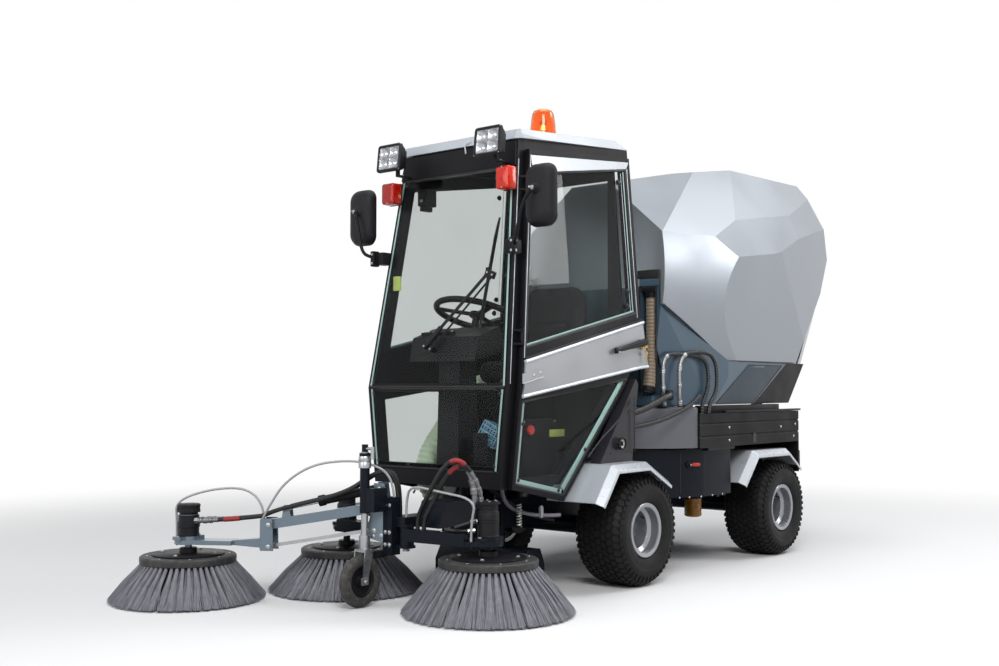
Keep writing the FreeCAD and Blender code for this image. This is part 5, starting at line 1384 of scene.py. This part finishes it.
for index, route in enumerate(LEFT_LINES):
    hose("left_hose_%d" % index, route, 9, "left_arm", "hose", replaces=["left_hoses"])
hose("left_water_tube", LEFT_WATER, 5, "left_arm", "tube", 10)
for index, route in enumerate(RIGHT_LINES):
    hose("right_hose_%d" % index, route, 9, "right_arm", "hose", replaces=["right_hoses"])
for index, route in enumerate(THIRD_LINES):
    hose("third_hose_%d" % index, route, 9, "third_head", "hose", replaces=["third_hoses"])
hose("third_water_tube", THIRD_WATER, 5, "third_head", "tube", 10)
for index, route in enumerate(BACK_LINES):
    hose("arm_hose_%d" % index, route, 9, ("sweeper", "third_arm"), "hose", joint=ARM_JOINT)
hose("arm_water_tube", WATER_ARC, 5, ("sweeper", "third_arm"), "tube", 10, joint=ARM_JOINT)
hose_fittings("left_fittings", "left_arm", LEFT_LINES, [[(2, 22), (34, 150)], [(2, 22), (32, 142)]],
              [[(222, 62)], [(214, 50)]])
hose_fittings("right_fittings", "right_arm", RIGHT_LINES, [[(2, 60)], [(2, 56)]], [[(140, 40)], []])
hose_fittings("third_fittings", "third_head", THIRD_LINES, [[(4, 100)], [(4, 92)]], [[], [(120, 70)]])


def nozzle(piece, place):
    piece.lathe([(0, 34), (6.5, 34), (6.5, 22), (9, 21), (9, 11), (6, 10), (6, 2), (3, -3), (0, -3)],
                place, UP, 12)


def left_drive():
    """Ribs, bolts and ports of the left motor, its nozzle and the arm's bolts"""
    x, y = LEFT_BRUSH
    piece = Piece("plastic")
    piece.lathe([(43, 300), (45, 301), (45, 306), (43, 308), (43, 358), (44.5, 359), (44.5, 363), (43, 364),
                 (43, 368), (44.5, 369), (44.5, 373), (43, 374), (43, 397), (40, 402), (38, 404), (38, 412),
                 (40, 413), (40, 418), (38, 419), (38, 428), (47, 430), (47, 438), (30, 441), (0, 441)],
                (x, y, 0), UP, 48)
    piece.box(322, 350, -974, -886, 366, 410, 5)
    piece.use("steel")
    for spot in spots(x, y, 441, 34, 6, 0.3):
        piece.bolt(spot, UP, 5)
    for dy in (-52, 52):
        piece.bolt((x, y + dy, 299), UP, 8)
    nozzle(piece, (352, -1002, 262))
    for port in (-914, -948):
        piece.lathe([(0, -14), (9, -14), (9, 12), (6, 14), (0, 14)], (322, port, 392), (-1, 0, 0), 6)
    for spot in ((100, -1022, 315), (200, -1008, 315), (290, -994, 315)):
        piece.dome(spot, UP, 6)
    for a, b in (((336, -990, 359), (352, -966, 362)), ((322, -990, 322), (342, -966, 326))):
        piece.bar(a, b, 10.5, 8)
    piece.use("hose")
    for line in ([(300, -1040, 340), (330, -1000, 356), (352, -972, 362)],
                 [(250, -1046, 330), (300, -1010, 318), (340, -972, 326)]):
        piece.tube(course(line), 8, 12)
    piece.done("left_drive", "left_arm", slot="black_plastic")


def right_drive():
    x, y = RIGHT_BRUSH
    piece = Piece("plastic")
    piece.lathe([(43, 300), (45, 301), (45, 306), (43, 308), (43, 350), (44.5, 351), (44.5, 355), (43, 356),
                 (43, 372), (41, 377), (38, 379), (38, 404), (46, 406), (46, 413), (30, 416), (0, 416)],
                (x, y, 0), UP, 36)
    piece.use("steel")
    for dy in (-52, 52):
        piece.bolt((x, y + dy, 299), UP, 8)
    piece.done("right_drive", "right_arm", slot="black_plastic")


def third_drive():
    """Third motor's ribbed casing and cap, its splash plate, nozzle and the bolts of the head"""
    x, y = THIRD_BRUSH
    piece = Piece("plastic")
    piece.lathe([(43, 265), (46, 267), (46, 273), (43.5, 275), (43.5, 300), (46.5, 302), (46.5, 322),
                 (43.5, 324), (43.5, 352), (38, 356), (38, 362), (48, 364), (48, 372), (46, 374), (46, 386),
                 (48, 388), (48, 396), (44, 399), (0, 399)], (x, y, 0), UP, 40)
    for a, spot in zip(circle(10), spots(x, y, 380, 46, 10)):
        piece.block((5, 5, 30), spot, Matrix.Rotation(a, 3, "Z"), 1)
    piece.use("steel")
    for dy in (-52, 52):
        piece.bolt((x, y + dy, 264), UP, 7)
    for side in (-18, 18):
        piece.bar(by_end(-34, 330, side), by_end(-52, 330.5, side), 13, 6)
    nozzle(piece, by_end(52, 226))
    for z in (320, 230):
        for side in (-1, 1):
            piece.bolt(along(470, z, 42 * side), THIRD_SIDE * side, 9)
    splash = [by_end(34, 251, -34), by_end(62, 251, -20), by_end(46, 330, -18), by_end(30, 330, -30)]
    piece.use("air").sheet(splash, 3)
    piece.done("third_drive", "third_head", slot="black_plastic")


CASTER = (-100, -1169, 105)
CASTER_STEM = (-100, -1145, 0)


def linkage_bolts():
    """Pin heads, post bolts with a white cap, and the caster column's silver head and crank"""
    piece = Piece("steel")
    for s, z in ((20, 395), (20, 305), (0, 475)):
        for side in (-1, 1):
            piece.bolt(along(s, z, 42 * side), THIRD_SIDE * side, 9)
    for s, z in ((-10, 285), (24, 282)):
        piece.bolt(along(s, z, 38.5), THIRD_SIDE, 7)
    for z in (250, 300, 410):
        for x in (-42, -18):
            piece.bolt((x, -1085, z), AHEAD, 8)
    for x, y in ((30, -1036), (-90, -975)):
        piece.lathe([(0, 6), (13, 6), (15, 3), (15, 0)], (x, y, 230), (0, 0, -1), 20)
    piece.lathe([(21, 560), (26, 562), (26, 584), (24.5, 586), (24.5, 588), (26, 590), (26, 606), (23, 610),
                 (23, 616), (17, 618), (17, 626), (12, 628), (12, 636), (9, 650), (0, 652)],
                CASTER_STEM, UP, 28, flute=0.5)
    piece.bar((-108, -1145, 640), (-56, -1145, 640), 6.2, 14)
    piece.bar((-55, -1145, 648), (-55, -1145, 598), 8.4, 14)
    piece.use("white").dome((-64, -1086, 448), AHEAD, 12, 0.8)
    piece.done("linkage_bolts", "sweeper", slot="zinc")


def caster():
    """Rubber caster tyre with its dished hub, and the axle nuts"""
    half = [(0, 105), (8, 104), (15, 100), (20, 92), (21.6, 82), (21, 72), (17, 64)]
    wheel = Piece("caster").lathe(both_sides(half), CASTER, LEFT, 56, closed=True)
    wheel.use("plastic")
    wheel.lathe([(66, -14), (62, -16), (56, -8), (26, -6), (22, -18), (9, -18), (9, 18), (22, 18), (26, 6),
                 (56, 8), (62, 16), (66, 14)], CASTER, LEFT, 40, closed=True)
    wheel.done("caster_tyre", "caster_wheel", ["caster_wheel"], "caster_tyre")
    nuts = Piece("steel")
    x, y, z = CASTER
    for side in (-1, 1):
        nuts.bolt((x + side * 36, y, z), (side, 0, 0), 10)
        nuts.box(x + side * 29 - 3.5, x + side * 29 + 3.5, -1190, -1150, 92, 122, 2)
    nuts.lathe([(15, 288), (23, 286), (24, 240), (22, 234)], CASTER_STEM, UP, 24)
    nuts.done("caster_nuts", "caster_fork", slot="zinc")


def under_cab():
    """Drain tube under the cab with its clamp, a spring, and the pipes along the front frame"""
    piece = Piece("drain")
    piece.tube(course([(205, -640, 470), (206, -632, 420), (226, -600, 372), (270, -530, 346),
                       (326, -455, 340), (352, -420, 342)]), 8.5, 12)
    piece.use("steel").box(296, 312, -500, -484, 332, 380, 3)
    piece.bolt((304, -492, 380), UP, 7)
    piece.use("hose")
    for x in (0, 20):
        piece.tube(course([(120 + x, -620, 452), (150 + x, -560, 400), (230 + x, -480, 330),
                           (300 + x, -420, 318)], 8),
                   6, 10)
    turns = 8
    steps = 14
    coil = [(262 + 10 * math.cos(a), -590 + 10 * math.sin(a), 300 + i * 0.85)
            for i, a in enumerate(2 * math.pi * i / steps for i in range(turns * steps + 1))]
    piece.use("spring").tube(coil, 2.6, 6)
    piece.done("under_cab", "front", slot="hose", smooth=50)


left_drive()
right_drive()
third_drive()
linkage_bolts()
caster()
under_cab()


# Rear body and hopper trim

def hopper_trim():
    """Black seam strip, hose cap band, recess frame, the side field in a darker copy of the base paint as
    painted shade, and its outline
    """
    slope = [(272 + 523 * i / 12, 1284 - 262 * i / 12) for i in range(13)]
    level = [(y, 1023) for y in range(840, 1600, 60)]
    seam = found(on_left("hopper_shell", y, z, 2.0) for y, z in slope + level)
    piece = Piece("seal")
    piece.tube([(428, 267, 1446), (428, 267, 1372), (430, 267, 1286)] + seam, 4.0, 6)
    shares = [i / 8 for i in range(9)]
    near = [on_left("hopper_base", 1010 - 316 * t, 1006 - 196 * t, 1.2) for t in shares]
    far = [on_left("hopper_base", 1430 - 300 * t, 1006 - 196 * t, 1.2) for t in shares]
    pairs = [(a, b) for a, b in zip(near, far) if a and b]
    # Sheet over the base's rear side facet in a darker blue: painted shade
    piece.use("base_shaded")
    for (a, b), (c, d) in zip(pairs, pairs[1:]):
        piece.add([a, b, d, c], [(0, 1, 2, 3)])
    outline = [a for a, _ in pairs] + [b for _, b in reversed(pairs)]
    piece.use("seal").tube(outline + [outline[0]], 2.2, 6)
    piece.box(306, 428, 258, 270, 1410, 1450, 4)
    piece.box(0, 425, 290, 520, 797.6, 802.6, 1)
    piece.box(312, 318, 262, 269, 862, 1372, 1)
    piece.box(404, 410, 262, 269, 862, 1372, 1)
    piece.use("base").box(314, 424, 264.5, 269, 1372, 1412, 1.0)
    piece.mirror().done("hopper_trim", "hopper", slot="base_blue")


def air_hose():
    """Corrugated beige hose in its recess"""
    def ribs(s):
        return 27.5 + 3.0 * abs(math.sin(s * math.pi / 17.0))

    route = [(362, 302, 1344), (362, 302, 1120), (362, 286, 960), (362, 262, 870)]
    hose("air_hose", route, 30, "hopper", "air", 28, ["hopper_hose"], "air_hose", shape=ribs, step=2.8)
    cap = Piece("plastic").box(320, 403, 265, 333, 1344, 1368, 4)
    cap.lathe([(33, 1318), (34, 1320), (34, 1345), (33, 1346)], (362, 302, 0), UP, 28)
    cap.lathe([(24, 0), (34, 0), (35, 3), (35, 22), (34, 25), (24, 25)],
              (362, 268, 892), (0, -0.25, -1), 28, True)
    cap.done("air_hose_cap", "hopper", slot="black_plastic")


SERVICE_LINES = [[(405, 335, 796), (405, 335, 816), (430, 285, 866), (430, 285, 1046), (455, 400, 1050),
                  (494, 585, 1040), (500, 600, 900), (484, 550, 800), (484, 550, 762)],
                 [(450, 405, 796), (450, 405, 814), (460, 385, 850), (460, 385, 1040), (484, 500, 1066),
                  (518, 630, 1050), (522, 645, 880), (504, 580, 800), (504, 580, 762)]]


def service_lines():
    """Hydraulic lines with braided risers and silver unions, in spiral guards beyond them"""
    def guarded(s):
        return 7.4 if s < 265 else 9.9 + 1.3 * math.sin(s * math.pi / 6.5)

    for index, route in enumerate(SERVICE_LINES):
        hose("service_hose_%d" % index, route, 11, "rear", "guard", replaces=["service_hoses"],
             shape=guarded, step=2.8)
        line = course(route)
        fit = Piece("braid").tube(part_of(line, 40, 262), lambda s: 8.3 + 0.35 * math.sin(s * 1.3), 14)
        fit.use("steel")
        for start, length in ((6, 34), (98, 26), (176, 30), (252, 26)):
            coupling(fit, line, start, length, 0.2)
        fit.done("service_union_%d" % index, "rear", slot="zinc", smooth=50)


FEED_LINES = [([(430, -30, 768), (436, 60, 778), (448, 180, 812), (452, 270, 842), (440, 334, 852),
                (424, 350, 852)],
               16.0),
              ([(432, -30, 706), (446, 60, 712), (474, 190, 734), (496, 330, 772), (508, 440, 818),
                (514, 480, 850)],
               11.5)]


def feed_hoses():
    """Corrugated hoses from behind the cab to the rear body, left on no body, and their port on the rear
    body
    """
    for index, (route, radius) in enumerate(FEED_LINES):
        def spiral(s, radius=radius):
            return radius - 1.6 + 1.6 * math.sin(s * math.pi / 6.8)

        hose("feed_hose_%d" % index, route, radius, ("front", "rear"), "guard", 14,
             shape=spiral, step=3.2, joint=((445, 40, 790), (455, 280, 810)))
    port = Piece("seal").box(404, 436, 352, 372, 828, 876, 4)
    port.lathe([(18, 0), (22, 1), (22, 16), (18, 18), (10, 18), (10, 0)],
               (424, 352, 852), AHEAD, 24, closed=True)
    port.done("hose_port", "rear", slot="black_plastic")


def quarter_trim(side):
    """Rubber seam and screws on the panels behind the doors, and the left one's gauge"""
    piece = Piece("seal")
    piece.tube(even([(465, -14, 828), (465, -166, 728), (465, -282, 661), (465, -372, 592)], 30), 3.4, 8)
    piece.tube(even([(466, -14, 850), (466, -14, 600)], 40), 2.4, 8)
    piece.use("plastic")
    for y, z in ((-40, 600), (-200, 600), (-30, 780)):
        piece.dome((464, y, z), LEFT, 5)
    if side == "left":
        at = Vector((464, -118, 640))
        piece.lathe([(24, 0), (28, 0), (29, 3), (29, 9), (27, 12), (22, 12), (22, 4)], at, LEFT, 36)
        piece.use("white").lathe([(0, 4), (22.5, 4), (22.5, 2), (0, 2)], at, LEFT, 30, closed=True)
        face = at + Vector((4.6, 0, 0))
        piece.use("seal")
        for a in (math.radians(-30 + 30 * i) for i in range(9)):
            way = Vector((0, math.cos(a), math.sin(a)))
            piece.rail(face + way * 16, face + way * 20, LEFT, 1.0, 1.4, 0.2)
        piece.dome((468, -118, 640), LEFT, 3)
        piece.use("red").rail((469.2, -118, 640), (469.2, -103, 650), LEFT, 1.0, 2.0, 0.2)
    else:
        piece.flip()
    piece.done("quarter_trim_" + side, "front", slot="grey_cover")


def housing_trim():
    """Arched pull notch drawn as a flat black sheet for painted shade in its hollow, deck edge, bolts and
    skirt seams
    """
    piece = Piece("seal")
    # The notch is a flat black sheet on the side: painted shade standing for its hollow
    arch = [(-19, -24), (19, -24), (19, 8)] + [(19 * math.cos(a), 8 + 18 * math.sin(a))
                                               for a in circle(16)[1:8]] + [(-19, 8)]
    piece.sheet([(520.2, 1021 + dy, 631 + dz) for dy, dz in arch], 1.2, 0.3)
    for y in (424, 566):
        piece.tube(found(on_left("side_skirts", y, z, 0.3) for z in (330, 380, 430, 480, 530, 575)), 1.8, 6)
    piece.use("plastic").box(500, 523, 720, 1552, 764, 774, 2)
    piece.box(440, 470, 560, 1400, 762.4, 800, 3)
    piece.use("steel")
    for y, z in ((1470, 626), (760, 626), (1320, 680), (760, 690), (1490, 690)):
        piece.dome((520, y, z), LEFT, 7)
    for y in (420, 470, 540, 640, 740, 830):
        place, normal = surface("side_skirts", (900, y, 360), (-1, 0, 0))
        if place:
            piece.dome(place + normal * 0.2, normal, 5)
    piece.mirror().done("housing_trim", "rear", slot="black_frame")


def drain_valve():
    """Round valve on the skirt with its red lever"""
    root, normal = surface("side_skirts", (900, 466, 517), (-1, 0, 0))
    side = Vector(UP).cross(normal).normalized()
    piece = Piece("plastic")
    piece.lathe([(0, 0), (15, 0), (16, 3), (15, 10), (10, 12), (10, 20), (8, 22), (0, 22)], root, normal, 20)
    lever = [(12, 6, 3, -4), (14, 8, 3, 10), (17, 9, 3, 26), (18, 9, 3, 44), (14, 7, 3, 54), (8, 5, 3, 57)]
    piece.use("red").stack(lever, root + normal * 15, UP, normal, side, 4)
    piece.use("steel").bolt(root + normal * 20, normal, 5)
    piece.done("drain_valve", "rear", slot="black_plastic")


def filter_can():
    profile = [(0, 232), (30, 232), (40, 236), (44, 242)]
    for z in range(246, 318, 8):
        profile += [(44, z), (42, z + 2), (42, z + 5), (44, z + 7)]
    piece = Piece("filter").lathe(profile + [(44, 322), (42, 326), (0, 326)], (300, 772, 0))
    piece.use("plastic")
    piece.lathe([(0, 326), (45, 326), (46, 330), (24, 338), (20, 340), (0, 340)], (300, 776, 0))
    piece.done("filter_can", "rear", ["oil_filter"], "filter")


def tail_lamp_pair():
    """Stacked round lamps in black housings"""
    y = 1530
    piece = Piece("plastic").box(462, 520, y, y + 14, 438, 545, 4)
    piece.stack([(46, 95, 12, 14), (46, 95, 12, 17)], (491, y, 491.5))
    for lens, low, high in (("tail", 446, 494), ("amber", 497, 537)):
        tall = high - low
        piece.use(lens).stack([(42, tall - 2, 8, 16), (42, tall - 2, 8, 22), (38, tall - 6, 8, 25.5),
                               (26, tall - 16, 8, 26.5)], (491, y, (low + high) / 2))
    piece.use("steel")
    for z in (442, 541):
        piece.dome((491, y + 14, z), BACK, 3)
    piece.mirror().done("tail_lamp_pair", "rear", ["tail_lamps"], "red_lens")


def flap_trim():
    """Border, ribs, latches and hinge straps' bolts on the rear flap"""
    def at(x, z, out=0.0):
        place, normal = surface("hopper_door", (x, 2600, z), AHEAD)
        return place + normal * out, normal

    piece = Piece("stainless")
    for x in (-330, -110, 110, 330):
        piece.rail(at(x, 915, 3.0)[0], at(x, 1515, 3.0)[0], LEFT, 26, 7, 2)
    for z in (905, 1528):
        start, normal = at(-404, z, 3.0)
        piece.rail(start, at(404, z, 3.0)[0], Vector(LEFT).cross(normal), 22, 7, 2)
    piece.use("steel")
    for x in (-380, 380):
        for z in (980, 1440):
            place, normal = at(x, z)
            piece.block((30, 9, 46), place + normal * 4, normal.to_track_quat("Y", "Z").to_matrix(), 2)
            piece.bolt(place + normal * 8.5, normal, 7)
    for x in (-250, 250):
        for z in (1500, 1530):
            piece.bolt(*at(x, z), 6)
    piece.done("flap_trim", "hopper_flap", slot="zinc")


hopper_trim()
air_hose()
service_lines()
feed_hoses()
quarter_trim("left")
quarter_trim("right")
housing_trim()
drain_valve()
filter_can()
tail_lamp_pair()
flap_trim()
